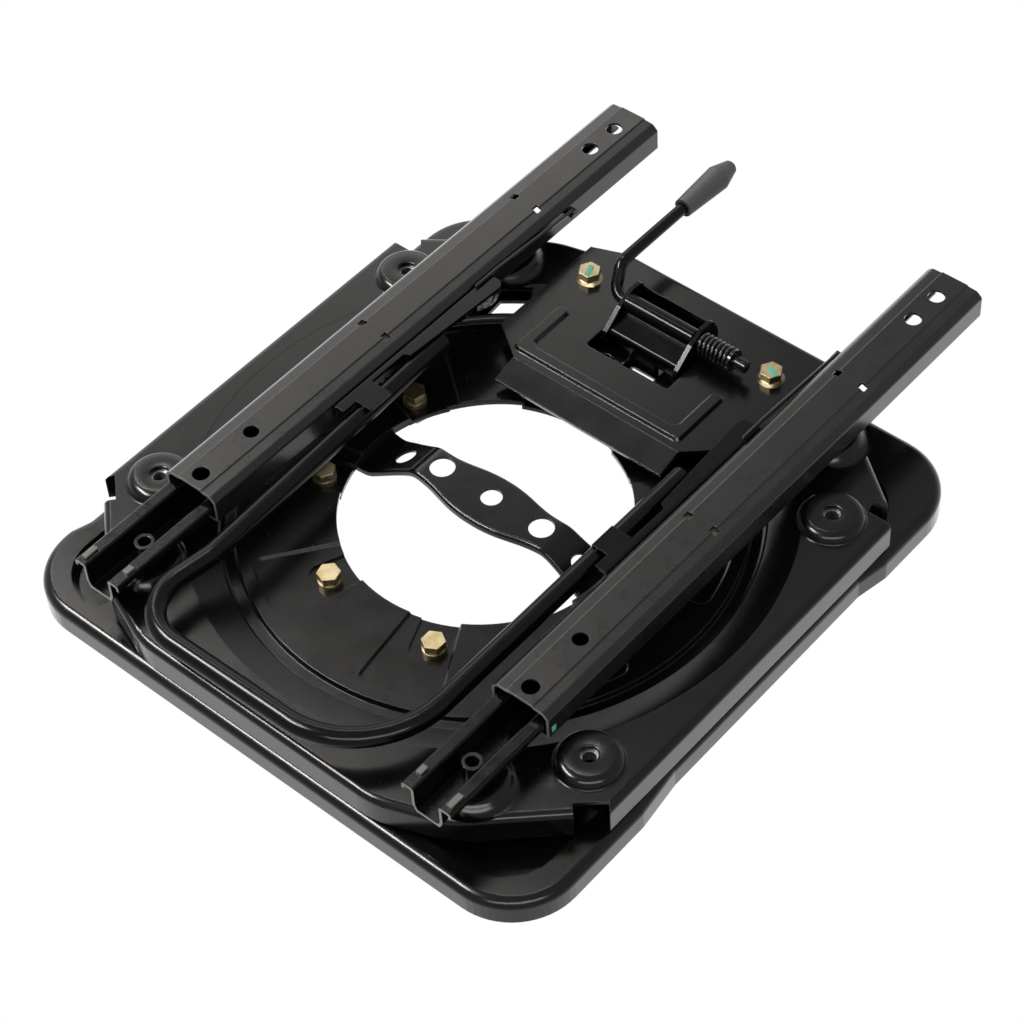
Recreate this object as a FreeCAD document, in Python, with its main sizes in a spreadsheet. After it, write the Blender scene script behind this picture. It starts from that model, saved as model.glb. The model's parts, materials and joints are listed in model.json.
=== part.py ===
import FreeCAD, Part
import math
import os
import Sketcher

# Swivel seat base: a pressed base plate, a swivel plate that turns on it, and two seat rails.
# Origin on the swivel axis at the foot of the base plate, +X to the right, +Y to the rear, +Z up.
# The release bar is at the front. Lengths in millimetres, angles in degrees.

SIZES = [
    ("gauge", 3.0, "sheet of the two pressed plates"),
    ("base_half_width", 203.5, "base plate, centre line to side at the corners"),
    ("base_half_length", 212.8, "base plate, centre line to front and rear"),
    ("base_height", 18.0, "height of the rim"),
    ("base_corner_radius", 45.0, "plan radius of the corners"),
    ("base_edge_radius", 6.0, "bend along the top of the rim"),
    ("waist_inset", 4.2, "step of the sides between the corners"),
    ("left_lobe", 4.0, "full width behind the left front corner"),
    ("left_step", 13.0, "length of the step that follows it"),
    ("right_lobe", 60.0, "full width behind the right front corner"),
    ("right_step", 34.0, "length of the step that follows it"),
    ("rear_lobe", 43.0, "full width in front of the rear corners"),
    ("rear_step", 22.0, "length of the step in front of it"),
    ("waist_radius", 8.0, "plan radius of the steps"),
    ("rim_width", 14.0, "top of the rim"),
    ("rear_band", 38.0, "wider band along the rear edge"),
    ("pan_depth", 8.0, "pan floor below the rim"),
    ("pan_corner_radius", 34.0, "plan radius of the pan"),
    ("pan_draft", 22.0, "slope of the pan walls from upright"),
    ("track_radius", 165.0, "raised track that the swivel turns on"),
    ("track_top", 20.5, "height of the raised track"),
    ("track_bore", 124.5, "hole through the base plate"),
    ("pan_slot_inner", 184.0, "see-through hole of the pan, inner radius"),
    ("pan_slot_outer", 202.0, "see-through hole of the pan, outer radius"),
    ("pan_slot_start", 122.5, "see-through hole of the pan, first angle"),
    ("pan_slot_end", 129.5, "see-through hole of the pan, last angle at the outer radius"),
    ("pan_slot_inner_end", 133.5, "the same at the inner radius"),
    ("foot_spacing", 300.0, "fixing feet, centre to centre both ways"),
    ("foot_radius", 21.0, "dimple of a fixing foot at the pan floor"),
    ("foot_draft", 40.0, "slope of the dimple and of the bosses"),
    ("foot_hole_radius", 5.5, "fixing hole"),
    ("slot_inner", 152.0, "lock slots, edge nearest the axis"),
    ("slot_outer", 163.0, "lock slots, edge furthest from the axis"),
    ("plate_half_width", 200.0, "swivel plate, centre line to side"),
    ("plate_front", 210.0, "swivel plate, axis to front edge"),
    ("plate_rear", 213.0, "swivel plate, axis to rear edge"),
    ("plate_top", 40.5, "height of the swivel plate"),
    ("flange_foot", 21.0, "lower edge of the swivel plate's flange"),
    ("plate_edge_radius", 4.5, "bend along the edge of the swivel plate"),
    ("front_cut_in", 14.0, "front corner cut, its end in from the side"),
    ("front_cut_end", 63.0, "the same end, from the front edge"),
    ("front_notch_end", 76.0, "front end of the straight side, from the front edge"),
    ("front_bend_in", 63.0, "front corner cut, its middle in from the side"),
    ("front_bend_end", 17.0, "the same point, from the front edge"),
    ("front_run_in", 108.0, "straight front edge, its end in from the side"),
    ("rear_cut_in", 13.0, "rear corner cut, its end in from the side"),
    ("rear_cut_end", 66.0, "the same end, from the rear edge"),
    ("rear_notch_end", 80.0, "rear end of the straight side, from the rear edge"),
    ("rear_bend_in", 83.0, "rear corner cut, its middle in from the side"),
    ("rear_bend_end", 14.0, "the same point, from the rear edge"),
    ("rear_run_in", 140.0, "straight rear edge, its end in from the side"),
    ("corner_round", 60.0, "plan radius of the bends in the edge"),
    ("front_notch_depth", 7.6, "front relief notch, square to the corner cut"),
    ("notch_depth", 17.0, "rear relief notch in from the side"),
    ("notch_length", 12.5, "rear relief notch along the side"),
    ("dish_margin", 13.0, "round dish in from the side of the plate"),
    ("dish_reach", 2.0, "foot of the dish wall, past the raised track"),
    ("dish_floor", 30.0, "height of the dish floor"),
    ("groove_gap", 3.0, "groove in from the foot of the dish wall"),
    ("groove_width", 6.0, "width of the groove round the floor"),
    ("groove_depth", 3.0, "depth of the groove"),
    ("opening_radius", 90.6, "central opening"),
    ("opening_left", 5.0, "central opening, left of the axis"),
    ("opening_front", 1.0, "central opening, in front of the axis"),
    ("recess_gap", 9.0, "bolt recesses in from the groove"),
    ("recess_depth", 1.8, "bolt recesses below the floor"),
    ("recess_lead", 14.5, "recess angle before the bolt"),
    ("recess_trail", 6.5, "recess angle after the bolt"),
    ("recess_corner", 3.0, "angle of a recess's rounded corners"),
    ("recess_draft", 35.0, "slope of the recess walls from upright"),
    ("recess_margin", 1.6, "wall round the underside of a recess"),
    ("seat_depth", 3.5, "bolt seats below the floor"),
    ("seat_half", 12.0, "half width of a bolt seat"),
    ("seat_lead", 2.7, "middle of a bolt seat before the bolt"),
    ("seat_reach", 10.0, "bolt seat beyond the bolt"),
    ("seat_corner", 8.0, "plan radius of a bolt seat's corners"),
    ("bolt_circle", 109.0, "ring bolts, radius of the circle"),
    ("bolt_count", 8.0, "ring bolts round the circle"),
    ("bolt_clearance", 0.4, "bolt hole over bolt, radial"),
    ("boss_inset", 30.0, "seat bosses in from the side of the plate"),
    ("boss_half_y", 113.5, "seat bosses, axis to centre along"),
    ("boss_radius", 20.0, "seat boss at the plate"),
    ("boss_rise", 6.3, "seat boss above the plate"),
    ("boss_hole_radius", 5.5, "hole in a seat boss"),
    ("pad_radius", 22.0, "round pad below a rail"),
    ("wall_slot_lower", 1.0, "see-through slot, from the foot of the dish wall"),
    ("wall_slot_upper", 2.0, "see-through slot, from the top of the dish wall"),
    ("wall_slot_start", 122.5, "see-through slot, first angle"),
    ("wall_slot_end", 134.0, "see-through slot, last angle"),
    ("ring_inner", 98.0, "clamp ring, bore"),
    ("ring_wall", 121.0, "clamp ring, outside of its wall"),
    ("ring_outer", 148.0, "clamp ring, outside of its flange"),
    ("ring_flange_top", 14.5, "height of the clamp ring's flange"),
    ("glide_outer", 144.0, "glide rings, outside"),
    ("glide_gap", 0.1, "running gap above and below the track"),
    ("glide_play", 0.3, "play of the centring lip"),
    ("bolt_radius", 4.0, "M8 shank"),
    ("hex_flats", 13.0, "M8 head and nut across flats"),
    ("head_height", 5.5, "M8 head"),
    ("bolt_washer_radius", 7.4, "washer below a ring bolt's head"),
    ("bolt_washer", 4.3, "plain and spring washer below a ring bolt's head"),
    ("washer_split", 0.5, "narrow neck of those washers below the head"),
    ("nut_height", 6.5, "M8 nut"),
    ("ring_bolt_length", 20.0, "ring bolt below its head"),
    ("boss_nut_flats", 16.0, "M10 weld nut across flats"),
    ("boss_nut_height", 8.0, "M10 weld nut"),
    ("boss_thread_radius", 4.25, "M10 thread, inside"),
    ("strap_gauge", 2.5, "sheet of the strap"),
    ("strap_top", 43.0, "height of the strap"),
    ("strap_flat_half", 52.0, "half of the strap's flat"),
    ("strap_end", 112.0, "axis to the strap's end"),
    ("strap_foot", 88.0, "foot of the strap's slope"),
    ("strap_half_width", 21.0, "half width at the middle"),
    ("strap_neck", 16.5, "half width at the necks"),
    ("strap_shoulder", 19.0, "half width beside the outer holes"),
    ("strap_tail", 24.0, "half width at the ends"),
    ("strap_round", 10.0, "plan radius of the strap's outline"),
    ("strap_hole_radius", 6.8, "hole at the middle of the strap"),
    ("strap_side_hole_radius", 8.0, "holes either side"),
    ("strap_side_hole", 39.5, "axis to a side hole"),
    ("strap_slope_hole", 70.5, "axis to a hole in the slope"),
    ("strap_slope_hole_radius", 6.5, "hole in the slope"),
    ("panel_gauge", 3.0, "sheet of the lock panel"),
    ("panel_front", 79.5, "front edge of the lock panel"),
    ("panel_bend", 98.0, "bend behind the front strip"),
    ("panel_lip_drop", 5.5, "front edge below the panel"),
    ("panel_rear", 216.5, "rear face of the lock panel"),
    ("panel_rear_drop", 9.0, "turned-down rear edge"),
    ("panel_fold", 4.5, "bends of the lock panel"),
    ("panel_front_half", 66.0, "half width at the front"),
    ("panel_half", 104.0, "right side of the panel at the rear"),
    ("panel_shoulder", 132.0, "where the panel gets to its full width on the right"),
    ("panel_left", 91.0, "left side of the panel at the rear"),
    ("panel_left_shoulder", 115.0, "where the panel gets to its full width on the left"),
    ("panel_cut_in", 29.0, "cut of the rear left corner, in from the side"),
    ("panel_cut_back", 11.5, "the same cut, from the rear face"),
    ("window_left", 37.0, "window left of the axis"),
    ("window_right", 28.0, "window right of the axis"),
    ("window_front", 134.0, "front edge of the window"),
    ("window_rear", 186.5, "rear edge of the window"),
    ("bead_rise", 2.2, "raised bead on the panel"),
    ("bead_half", 5.0, "half width of the bead"),
    ("bead_corner", 4.4, "plan radius of the bead's corners"),
    ("bead_left", 67.0, "bead, left arm"),
    ("bead_right", 57.0, "bead, right arm"),
    ("bead_front", 108.0, "bead, front run"),
    ("bead_rear", 151.0, "bead, ends of the arms"),
    ("panel_bolt_half", 73.0, "panel bolts, axis to centre across"),
    ("panel_bolt_back", 182.0, "panel bolts, axis to centre along"),
    ("flange_head_radius", 8.9, "flange of a panel bolt"),
    ("flange_head_height", 7.5, "head of a panel bolt with its flange"),
    ("panel_bolt_length", 14.0, "panel bolt below its head"),
    ("panel_rivet_right", 83.2, "panel rivet, axis to centre across"),
    ("panel_rivet_back", 139.0, "panel rivet, axis to centre along"),
    ("panel_rivet_head", 3.4, "radius of its head"),
    ("panel_rivet_rise", 1.6, "height of its head"),
    ("panel_rivet_radius", 2.0, "radius of its shank"),
    ("pivot_back", 171.0, "lock pivot from the axis"),
    ("pivot_height", 55.0, "lock pivot above the foot"),
    ("pivot_radius", 4.0, "lock rod"),
    ("pivot_play", 0.05, "running clearance of a pivot"),
    ("ear_gauge", 3.0, "sheet of the lock bracket"),
    ("ear_left", 34.5, "outer face of the left ear"),
    ("ear_right", 25.5, "outer face of the right ear"),
    ("ear_front", 147.0, "front edge of the ears"),
    ("ear_rear", 189.5, "rear edge of the ears"),
    ("ear_top", 63.0, "top of the ears"),
    ("ear_shoulder", 46.0, "front corner of the ears"),
    ("ear_slope", 4.5, "rear edge of the ears, forward at the top"),
    ("foot_reach", 12.0, "bracket feet, out from the ears"),
    ("foot_margin", 18.4, "bracket feet, rear end in from the edge of the dish"),
    ("latch_play", 0.5, "latch between the ears, each side"),
    ("latch_gauge", 4.0, "sheet of the latch"),
    ("latch_hub_radius", 6.6, "rolled eye of the latch"),
    ("latch_knee_back", 152.5, "bend of the latch from the axis"),
    ("latch_knee_height", 46.0, "bend of the latch above the foot"),
    ("tooth_half", 10.0, "half width of the latch tooth"),
    ("tooth_rest_gap", 0.6, "latch tooth above the track"),
    ("tooth_taper", 2.2, "front corner taken off the tooth"),
    ("tooth_taper_rise", 6.0, "height of that corner"),
    ("rod_tip", 62.0, "free end of the lock rod"),
    ("crank_start", 43.0, "left end of the lock rod"),
    ("crank_out", 48.5, "lever arm left of the axis"),
    ("crank_rise", 15.0, "lever arm above the pivot"),
    ("crank_back", 14.0, "top of the crank behind the pivot"),
    ("crank_bend", 10.5, "bend radius of the lever"),
    ("arm_end", 285.5, "free end of the lever arm"),
    ("grip_start", 248.0, "front end of the grip"),
    ("grip_end", 299.0, "rear end of the grip"),
    ("grip_neck_radius", 6.5, "grip at its front end"),
    ("grip_belly_radius", 8.7, "grip at its widest"),
    ("grip_belly", 284.5, "widest place of the grip"),
    ("grip_tip_radius", 4.8, "grip at its rear end"),
    ("grip_bottom", 286.0, "end of the hole in the grip"),
    ("grip_edge", 1.0, "bevel at the rear end of the grip"),
    ("spring_radius", 6.4, "lock spring, centre of the wire"),
    ("spring_wire_radius", 1.25, "wire of the lock spring"),
    ("spring_pitch", 3.2, "lock spring, turn to turn"),
    ("spring_turns", 7.0, "turns of the lock spring"),
    ("washer_radius", 7.5, "washer at the end of the spring"),
    ("washer_gauge", 2.0, "thickness of that washer"),
    ("rail_half", 128.9, "rails, axis to centre line"),
    ("rail_gauge", 1.8, "sheet of the rails"),
    ("rail_fold", 2.9, "shoulder bends of the upper rail"),
    ("lower_rail_front", 202.5, "lower rails, axis to front end"),
    ("lower_rail_rear", 202.5, "lower rails, axis to rear end"),
    ("lower_web_half", 7.5, "flat of the lower rail's floor"),
    ("lower_wall", 11.0, "outside of the lower rail's wall"),
    ("lower_web_rise", 3.6, "slope between floor and wall"),
    ("lower_hook", 18.0, "outside of the lower rail's hook"),
    ("lower_rail_height", 19.2, "lower rail, floor to flange"),
    ("hook_drop", 4.5, "hook below the flange"),
    ("upper_rail_front", 123.3, "upper rails, axis to front end"),
    ("upper_rail_rear", 296.6, "upper rails, axis to rear end"),
    ("upper_half", 20.7, "outside of the upper rail"),
    ("upper_top", 75.0, "top of the upper rails"),
    ("upper_height", 21.2, "upper rail, top to lower edge"),
    ("band_half", 9.3, "raised band along the upper rail"),
    ("band_drop", 0.8, "band above the shoulders"),
    ("shoulder_half", 16.8, "flat of the shoulders"),
    ("shoulder_drop", 1.2, "shoulder edge below the band"),
    ("cheek_drop", 4.6, "top of the upper rail's side below the band"),
    ("lip_inner", 13.0, "turned-in lower lip"),
    ("fixing_back", 164.3, "rail fixings, axis to centre along"),
    ("rivet_radius", 5.5, "body of a rail rivet nut"),
    ("rivet_collar_radius", 6.2, "collar of a rail rivet nut"),
    ("rivet_collar", 10.9, "collar above the rail's floor"),
    ("rivet_bulb_radius", 7.0, "bulb below the pad"),
    ("rivet_depth", 5.0, "bulb height"),
    ("rivet_thread_radius", 4.0, "threaded hole of a rail rivet nut"),
    ("seat_hole_radius", 5.5, "seat holes at the rail ends"),
    ("seat_hole_front", 113.5, "front seat hole"),
    ("seat_hole_rear", 276.6, "rear seat hole"),
    ("seat_inner_front", 70.3, "second hole from the front"),
    ("seat_inner_radius", 5.0, "radius of that hole"),
    ("seat_inner_rear", 251.5, "second hole from the rear"),
    ("lance_front", 40.0, "pierced squares, front pair"),
    ("lance_rear", 186.0, "pierced squares, rear pair"),
    ("lance_offset", 9.6, "pierced squares from the rail's centre line"),
    ("lance_side", 5.0, "side of a pierced square"),
    ("stop_front", 189.5, "inner stop lug of a lower rail, in front of the axis"),
    ("stop_length", 6.0, "the same lug along the rail"),
    ("stop_outer_front", 194.0, "outer stop lug, in front of the axis"),
    ("stop_outer_length", 10.0, "the same lug along the rail"),
    ("stop_rise", 1.8, "stop lugs above the flange"),
    ("lug_back", 205.0, "spring lug of the upper rail"),
    ("lug_reach", 5.0, "spring lug out from the rail"),
    ("lug_length", 7.0, "spring lug along the rail"),
    ("lug_height", 66.0, "top of the spring lug"),
    ("cage_centre", 45.0, "roller cage, middle"),
    ("cage_half", 84.0, "roller cage, half length"),
    ("cage_gauge", 1.5, "sheet of the roller cage"),
    ("cage_half_width", 17.6, "roller cage, half width"),
    ("roller_pitch_half", 68.0, "rollers from the middle of the cage"),
    ("roller_half_length", 2.4, "half length of a roller"),
    ("roller_centre", 14.0, "rollers from the rail's centre line"),
    ("roller_gap", 0.3, "roller and ball clearance"),
    ("bar_radius", 6.5, "release bar"),
    ("bar_height", 62.0, "release bar above the foot"),
    ("bar_front", 208.5, "front run of the release bar"),
    ("bar_inset", 38.4, "legs of the bar in from the rails"),
    ("bar_left_end", 67.7, "left end of the bar, behind the axis"),
    ("bar_right_end", 71.0, "right end of the bar, behind the axis"),
    ("bar_skew", 0.9, "front run, left corner further to the front"),
    ("bar_splay", 6.7, "rear end of the left leg, outward"),
    ("bar_knee", 148.0, "knee of the left leg, in front of the axis"),
    ("bar_knee_in", 2.2, "the same knee, inward"),
    ("bar_corner_out", 6.0, "left front corner, outward"),
    ("bar_left_bend", 31.0, "left front corner bend"),
    ("bar_right_bend", 62.0, "right front corner bend"),
    ("bar_knee_bend", 40.0, "bend of the knee"),
    ("lever_gauge", 2.2, "sheet of the rail levers"),
    ("lever_play", 0.4, "rail lever beside the rail"),
    ("lever_nose", 21.0, "front end of the rail levers, in front of the axis"),
    ("lever_end", 124.5, "rear end of the rail levers"),
    ("lever_foot", 60.0, "lower edge of the rail levers"),
    ("lever_depth", 7.0, "boss round the pivot below that edge"),
    ("nose_width", 9.0, "turned-in top of a lever at its nose"),
    ("tray_width", 5.0, "the same behind the saddle"),
    ("tray_step", 38.0, "step of that width behind the axis"),
    ("tray_middle", 9.0, "the width behind the step"),
    ("tray_rear", 14.0, "the width at the rear end"),
    ("tray_round", 6.0, "rounded corner at the rear end"),
    ("saddle_front", 9.7, "front edge of the saddles, in front of the axis"),
    ("saddle_length", 18.7, "saddle along the bar"),
    ("saddle_past", 3.4, "saddle past the middle of the bar"),
    ("pawl_front", 19.0, "first pawl tooth behind the axis"),
    ("pawl_pitch", 6.0, "pawl tooth to tooth"),
    ("pawl_depth", 5.0, "pawl teeth below the lever"),
    ("pawl_width", 3.0, "pawl tooth along the lever"),
    ("lever_pin_back", 100.0, "rail lever pivot behind the axis"),
    ("lever_pin_height", 60.0, "rail lever pivot above the foot"),
    ("lever_pin_radius", 3.0, "rail lever pivot"),
    ("pin_head_radius", 4.6, "head of that pivot"),
    ("pin_head", 1.6, "thickness of that head"),
    ("wire_radius", 1.2, "return spring wire"),
    ("wire_front", 110.0, "front end of the return spring"),
    ("wire_crest", 130.0, "where the return spring starts to fall"),
    ("wire_bend", 8.0, "bend of the return spring"),
]


class Size:
    """A length or an angle that keeps the sheet formula it comes from."""

    def __init__(self, value, formula):
        self.value = value
        self.formula = formula

    def __add__(self, other):
        return joined(self, other, "+")

    def __radd__(self, other):
        return joined(other, self, "+")

    def __sub__(self, other):
        return joined(self, other, "-")

    def __rsub__(self, other):
        return joined(other, self, "-")

    def __mul__(self, other):
        return joined(self, other, "*")

    def __rmul__(self, other):
        return joined(other, self, "*")

    def __truediv__(self, other):
        return joined(self, other, "/")

    def __rtruediv__(self, other):
        return joined(other, self, "/")

    def __neg__(self):
        return Size(-self.value, f"(0 - {self.formula})")


ZERO = Size(0.0, "0.0")


def sized(number):
    return number if isinstance(number, Size) else Size(float(number), repr(float(number)))


def joined(left, right, sign):
    left = sized(left)
    right = sized(right)
    if sign == "-" and left.formula == right.formula:
        return ZERO
    if sign == "+" and left.formula == ZERO.formula:
        return right
    if sign in "+-" and right.formula == ZERO.formula:
        return left
    if sign in "*/" and left.formula == ZERO.formula or sign == "*" and right.formula == ZERO.formula:
        return ZERO
    value = {
        "+": lambda: left.value + right.value,
        "-": lambda: left.value - right.value,
        "*": lambda: left.value * right.value,
        "/": lambda: left.value / right.value,
    }[sign]()
    return Size(value, f"({left.formula} {sign} {right.formula})")


def cosine(angle):
    angle = sized(angle)
    return Size(math.cos(math.radians(angle.value)), f"cos({angle.formula})")


def sine(angle):
    angle = sized(angle)
    return Size(math.sin(math.radians(angle.value)), f"sin({angle.formula})")


def direction(start, end):
    """The unit vector from one point to the other."""
    run = sized(end[0]) - sized(start[0])
    rise = sized(end[1]) - sized(start[1])
    if run.formula == ZERO.formula:
        return ZERO, sized(math.copysign(1, rise.value))
    if rise.formula == ZERO.formula:
        return sized(math.copysign(1, run.value)), ZERO
    length = Size(math.hypot(run.value, rise.value), f"hypot({run.formula}; {rise.formula})")
    return run / length, rise / length


class Sheet:
    """The driving dimensions, read as sizes by their names."""

    def __init__(self, document, rows):
        self.table = document.addObject("Spreadsheet::Sheet", "sizes")
        self.values = {}
        for row, (alias, number, words) in enumerate(rows, 1):
            self.table.set(f"A{row}", alias)
            self.table.set(f"B{row}", str(number))
            self.table.set(f"C{row}", words)
            self.table.setAlias(f"B{row}", alias)
            self.values[alias] = number

    def __getattr__(self, alias):
        return Size(self.values[alias], f"sizes.{alias}")


document = FreeCAD.newDocument("swivel_seat_base")
s = Sheet(document, SIZES)
document.recompute()

bodies = []


def new_body(name):
    body = document.addObject("PartDesign::Body", name)
    body.AllowCompound = True
    bodies.append(body)
    return body


def origin_part(body, role):
    return next(part for part in body.Origin.OriginFeatures if part.Role == role)


def set_size(feature, prop, size):
    feature.setExpression(prop, sized(size).formula)


def new_sketch(body, name, plane="XY_Plane", offset=ZERO, across=ZERO, up=ZERO):
    """A sketch on a plane of the body's own origin, moved along the plane's normal and within it.

    XY faces up, XZ faces the front, YZ faces right.
    """
    sketch = body.newObject("Sketcher::SketchObject", name)
    sketch.AttachmentSupport = [(origin_part(body, plane), "")]
    sketch.MapMode = "FlatFace"
    set_size(sketch, "AttachmentOffset.Base.x", across)
    set_size(sketch, "AttachmentOffset.Base.y", up)
    set_size(sketch, "AttachmentOffset.Base.z", offset)
    return sketch


def at(corner):
    return FreeCAD.Vector(sized(corner[0]).value, sized(corner[1]).value, 0)


def pin_point(sketch, geometry, end, corner):
    """Hold a point of the sketch at a place worked out from the sheet."""
    for kind, size in (("DistanceX", sized(corner[0])), ("DistanceY", sized(corner[1]))):
        index = sketch.addConstraint(Sketcher.Constraint(kind, -1, 1, geometry, end, size.value))
        sketch.setExpression(f"Constraints[{index}]", size.formula)


def hold_radius(sketch, geometry, radius):
    index = sketch.addConstraint(Sketcher.Constraint("Radius", geometry, sized(radius).value))
    sketch.setExpression(f"Constraints[{index}]", sized(radius).formula)


def outline(sketch, corners):
    """A closed outline. A corner (x, y) starts a straight stretch, and
    (x, y, centre, radius, left) starts a round one that turns left or right."""
    first = sketch.GeometryCount
    ends = []
    for index, corner in enumerate(corners):
        start = at(corner)
        finish = at(corners[(index + 1) % len(corners)])
        if len(corner) == 2:
            sketch.addGeometry(Part.LineSegment(start, finish), False)
            ends.append((1, 2))
            continue
        centre = at(corner[2])
        circle = Part.Circle(centre, FreeCAD.Vector(0, 0, 1), sized(corner[3]).value)
        angles = [math.atan2(p.y - centre.y, p.x - centre.x) for p in (start, finish)]
        if not corner[4]:
            angles.reverse()
        if angles[1] < angles[0]:
            angles[1] += 2 * math.pi
        sketch.addGeometry(Part.ArcOfCircle(circle, *angles), False)
        ends.append((1, 2) if corner[4] else (2, 1))
    for index, corner in enumerate(corners):
        after = (index + 1) % len(corners)
        sketch.addConstraint(
            Sketcher.Constraint("Coincident", first + index, ends[index][1], first + after, ends[after][0])
        )
        pin_point(sketch, first + index, ends[index][0], corner)
        if len(corner) > 2:
            hold_radius(sketch, first + index, corner[3])


def rounded(corners, radius):
    """The outline through the corners, each one rounded by the radius."""
    entries = []
    count = len(corners)
    for index, corner in enumerate(corners):
        before = direction(corners[index - 1], corner)
        after = direction(corner, corners[(index + 1) % count])
        cross = before[0] * after[1] - before[1] * after[0]
        dot = before[0] * after[0] + before[1] * after[1]
        side = math.copysign(1, cross.value)
        reach = radius * cross * side / (1 + dot)
        start = (corner[0] - reach * before[0], corner[1] - reach * before[1])
        centre = (start[0] - before[1] * radius * side, start[1] + before[0] * radius * side)
        entries.append((*start, centre, radius, side > 0))
        entries.append((corner[0] + reach * after[0], corner[1] + reach * after[1]))
    return entries


def ribbon(points, gauge):
    """Sheet along a line of points, with its thickness on the right hand of the line."""
    offset = []
    count = len(points)
    for index, point in enumerate(points):
        before = direction(points[max(index - 1, 0)], points[max(index, 1)])
        after = direction(points[min(index, count - 2)], points[min(index + 1, count - 1)])
        dot = before[0] * after[0] + before[1] * after[1]
        offset.append((
            point[0] + gauge * (before[1] + after[1]) / (1 + dot),
            point[1] - gauge * (before[0] + after[0]) / (1 + dot),
        ))
    return offset


def circle(sketch, x, y, radius):
    geometry = sketch.addGeometry(
        Part.Circle(at((x, y)), FreeCAD.Vector(0, 0, 1), sized(radius).value), False
    )
    pin_point(sketch, geometry, 3, (x, y))
    hold_radius(sketch, geometry, radius)


def box_outline(sketch, x_low, x_high, y_low, y_high):
    outline(sketch, [(x_low, y_low), (x_high, y_low), (x_high, y_high), (x_low, y_high)])


def rounded_box(sketch, x_low, x_high, y_low, y_high, radius):
    outline(sketch, rounded([(x_low, y_low), (x_high, y_low), (x_high, y_high), (x_low, y_high)], radius))


def hexagon(sketch, x, y, flats):
    """A hexagon with two corners on the sketch's own x direction."""
    reach = flats / 2 / cosine(30)
    outline(sketch, [(x + reach * cosine(60 * k), y + reach * sine(60 * k)) for k in range(6)])


def sector(sketch, inner, outer, start, end):
    """Part of a ring about the origin."""
    outline(sketch, [
        (outer * cosine(start), outer * sine(start), (0, 0), outer, True),
        (outer * cosine(end), outer * sine(end)),
        (inner * cosine(end), inner * sine(end), (0, 0), inner, False),
        (inner * cosine(start), inner * sine(start)),
    ])


def rounded_sector(sketch, inner, outer, start, end, corner):
    """Part of a ring about the origin, with its outer corners rounded over an angle."""
    bend = outer * sine(corner) / (1 + sine(corner))
    reach = (outer - bend) * cosine(corner)

    def spot(radius, angle):
        return radius * cosine(angle), radius * sine(angle)

    outline(sketch, [
        spot(inner, start),
        (*spot(reach, start), spot(outer - bend, start + corner), bend, True),
        (*spot(outer, start + corner), (0, 0), outer, True),
        (*spot(outer, end - corner), spot(outer - bend, end - corner), bend, True),
        spot(reach, end),
        (*spot(inner, end), (0, 0), inner, False),
    ])


def mirrored(half):
    """A closed outline from its right half, listed from the top centre line round to the bottom one."""
    return half + [(-x, y) for x, y in reversed(half)]


def grow(kind, body, sketch, length, back=False, both=False, draft=None):
    feature = body.newObject(f"PartDesign::{kind}", f"{sketch.Name}_{kind.lower()}")
    feature.Profile = sketch
    set_size(feature, "Length", length)
    feature.Reversed = back
    if both:
        feature.SideType = "Symmetric"
    if draft is not None:
        set_size(feature, "TaperAngle", draft)
    return feature


def pad(body, sketch, length, **options):
    """Add a solid along the sketch's normal, or against it when back is set."""
    return grow("Pad", body, sketch, length, **options)


def cut(body, sketch, length, **options):
    """Remove a solid against the sketch's normal, or along it when back is set."""
    return grow("Pocket", body, sketch, length, **options)


def turn(body, sketch, axis, kind="Revolution"):
    feature = body.newObject(f"PartDesign::{kind}", f"{sketch.Name}_{kind.lower()}")
    feature.Profile = sketch
    feature.ReferenceAxis = (sketch, [axis])
    feature.Angle = 360
    return feature


def repeat_round(body, originals, count):
    feature = body.newObject("PartDesign::PolarPattern", f"{originals[0].Name}_round")
    feature.Originals = originals
    feature.Axis = (origin_part(body, "Z_Axis"), [""])
    feature.Angle = 360
    set_size(feature, "Occurrences", count)
    body.Tip = feature
    return feature


def round_edges(body, base, wanted, radius):
    """Fillet the edges of the base feature that the test picks."""
    document.recompute()
    names = [f"Edge{n}" for n, edge in enumerate(base.Shape.Edges, 1) if wanted(edge)]
    feature = body.newObject("PartDesign::Fillet", f"{base.Name}_round")
    feature.Base = (base, names)
    set_size(feature, "Radius", radius)
    return feature


def upright(edge):
    box = edge.BoundBox
    return box.XLength + box.YLength < 0.01


def along(axis):
    """Edges that run along one axis only."""
    def test(edge):
        box = edge.BoundBox
        spans = {"X": box.XLength, "Y": box.YLength, "Z": box.ZLength}
        return spans[axis] > 0.01 and sum(spans.values()) - spans[axis] < 0.01
    return test


def level_at(height):
    def test(edge):
        box = edge.BoundBox
        return abs(box.ZMin - height.value) + abs(box.ZMax - height.value) < 0.01
    return test


def near(places, reach=0.5):
    """Upright edges that stand at one of the places."""
    def test(edge):
        centre = edge.BoundBox.Center
        return upright(edge) and any(
            abs(centre.x - at(place).x) < reach and abs(centre.y - at(place).y) < reach for place in places
        )
    return test


def hollow_below(body, base, height):
    """Turn the solid into sheet of one gauge, open below."""
    document.recompute()
    faces = [
        f"Face{n}" for n, face in enumerate(base.Shape.Faces, 1)
        if abs(face.BoundBox.ZMax - height.value) < 0.01
    ]
    feature = body.newObject("PartDesign::Thickness", f"{base.Name}_sheet")
    feature.Base = (base, faces)
    set_size(feature, "Value", s.gauge)
    feature.Reversed = True
    feature.Join = 0
    return feature


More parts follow.
